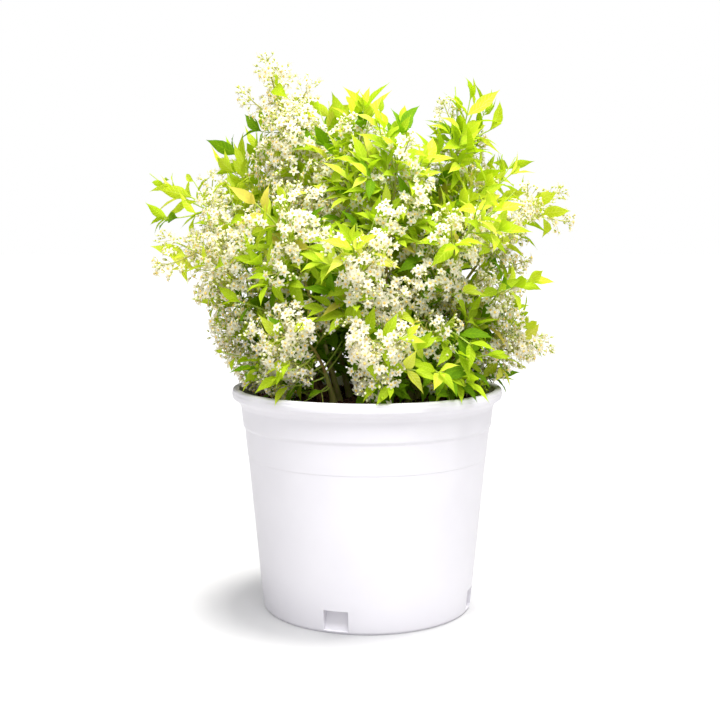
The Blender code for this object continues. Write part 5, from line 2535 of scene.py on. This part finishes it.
@dataclass
class Studio:
    """A pale floor, soft light and the camera."""

    eye: Triple = (-0.0074, -1.1486, 0.3724)
    pitch: float = math.radians(5.73)
    focal_px: float = 1108.4
    frame_px: float = 720.0
    sensor: float = 36.0
    floor_half: float = 60.0
    floor_roughness: float = 0.9
    floor_clouds: float = 3.0
    floor_shade: Colour = (0.93, 0.93, 0.93)
    floor_light: Colour = (0.95, 0.95, 0.95)
    sky_strength: float = 0.17
    sky_slope: Triple = (0.12, -0.48, 0.84)
    sky_colour: Colour = (0.985, 0.985, 1.0)
    sun_strength: float = 0.95
    sun_breadth: float = math.radians(30)
    sun_aim: Triple = (-0.45, -0.30, -0.90)
    sun_colour: Colour = (1.0, 0.985, 0.96)
    floor_sun_aim: Triple = (-0.14, -0.03, -0.99)
    floor_sun_strength: float = 1.85
    floor_sun_breadth: float = math.radians(18)
    box_power: float = 13.0
    box_size: float = 0.55
    box_place: Triple = (0.08, -0.42, 1.02)
    box_aim: Triple = (0.0, 0.0, 0.38)

    def camera(self) -> None:
        """The camera at the photograph's viewing angle."""
        lens = bpy.data.cameras.new("camera")
        lens.sensor_width = self.sensor
        lens.lens = self.sensor * self.focal_px / self.frame_px
        made = linked("camera", lens)
        made.matrix_world = Matrix.Translation(self.eye) @ Matrix.Rotation(math.pi / 2 - self.pitch, 4, "X")
        bpy.context.scene.camera = made

    def sun(self, name: str, aim: Sequence[float], strength: float, breadth: float) -> Object:
        """A soft light from far off.

        Args:
            name: Its name.
            aim: The direction that it shines in.
            strength: How bright it is.
            breadth: The angle that it fills.

        Returns:
            The lamp.
        """
        light = bpy.data.lights.new(name, "SUN")
        light.energy = strength
        light.angle = breadth
        light.color = self.sun_colour
        made = linked(name, light)
        made.matrix_world = Vector(aim).to_track_quat("-Z", "Y").to_matrix().to_4x4()
        return made

    def softbox(self) -> Object:
        """A soft light close above the crown, out of the picture.

        Returns:
            The lamp.
        """
        light = bpy.data.lights.new("softbox", "AREA")
        light.energy = self.box_power
        light.shape = "DISK"
        light.size = self.box_size
        made = linked("softbox", light)
        made.location = self.box_place
        aim = Vector(self.box_aim) - Vector(self.box_place)
        made.rotation_euler = aim.to_track_quat("-Z", "Y").to_euler()
        return made

    def world(self) -> None:
        """A sky that is brightest overhead, in front and to the right, and looks white behind the object."""
        world = bpy.data.worlds.new("studio")
        world.use_nodes = True
        made = Nodes(world.node_tree, "ShaderNode")
        seen = made.add("TexCoord").outputs["Generated"]
        slope = made.add("VectorMath", {"operation": "DOT_PRODUCT"}, Vector=seen)
        slope.inputs[1].default_value = self.sky_slope
        sky = made.tree.nodes["Background"]
        sky.inputs["Color"].default_value = (*self.sky_colour, 1.0)
        made.feed(sky.inputs["Strength"], made.calculate("ADD", slope.outputs["Value"], self.sky_strength))
        white = made.add("Background", Color=(1.0, 1.0, 1.0, 1.0))
        blend = made.add("MixShader", Fac=made.add("LightPath").outputs["Is Camera Ray"])
        made.feed(blend.inputs[1], sky.outputs["Background"])
        made.feed(blend.inputs[2], white.outputs["Background"])
        made.feed(made.tree.nodes["World Output"].inputs["Surface"], blend.outputs["Shader"])
        bpy.context.scene.world = world

    def floor(self) -> Object:
        """A wide pale floor.

        Returns:
            The floor.
        """
        shape = bmesh.new()
        bmesh.ops.create_grid(shape, x_segments=1, y_segments=1, size=self.floor_half)
        mesh = mesh_from("floor", shape)
        floor = linked("floor", mesh)
        pale = Recipe("studio_floor", self.floor_roughness)
        clouds = pale.noise(pale.place(), self.floor_clouds)
        pale.colour(pale.mix(clouds, self.floor_shade, self.floor_light))
        mesh.materials.append(pale.material)
        return floor

    def build(self, pieces: Sequence[Object]) -> None:
        """Sets up the sky, the floor, the camera and the lamps.

        Two lamps light the pieces alone. A third lights the floor alone, and only the pot shades it
        from that lamp, so the shadow stays close to the pot's foot.

        Args:
            pieces: The finished pieces, the pot first.
        """
        bpy.context.scene.view_settings.view_transform = "Standard"
        self.world()
        plant = group("lit_by_two_lamps", pieces)
        self.softbox().light_linking.receiver_collection = plant
        high = self.sun("soft_sun", self.sun_aim, self.sun_strength, self.sun_breadth)
        high.light_linking.receiver_collection = plant
        low = self.sun("floor_sun", self.floor_sun_aim, self.floor_sun_strength, self.floor_sun_breadth)
        low.light_linking.receiver_collection = group("lit_by_the_third", [self.floor()])
        low.light_linking.blocker_collection = group("shades_the_floor", pieces[:1])
        self.camera()


def main() -> None:
    """Builds the pot, the soil, the canes, the crown and the studio."""
    logging.basicConfig(level=logging.INFO, format="%(message)s", stream=sys.stdout)
    pot = NurseryPot()
    crown = Crown(pot)
    pieces = [pot.build(), *SoilBed(pot).build(), Canes(crown.ways).build(), *crown.build()]
    for piece in pieces:
        piece.data.calc_loop_triangles()
        logger.info("piece %s: %d triangles", piece.name, len(piece.data.loop_triangles))
    logger.info("triangles in all: %d", sum(len(piece.data.loop_triangles) for piece in pieces))
    Studio().build(pieces)


if __name__ == "__main__":
    main()
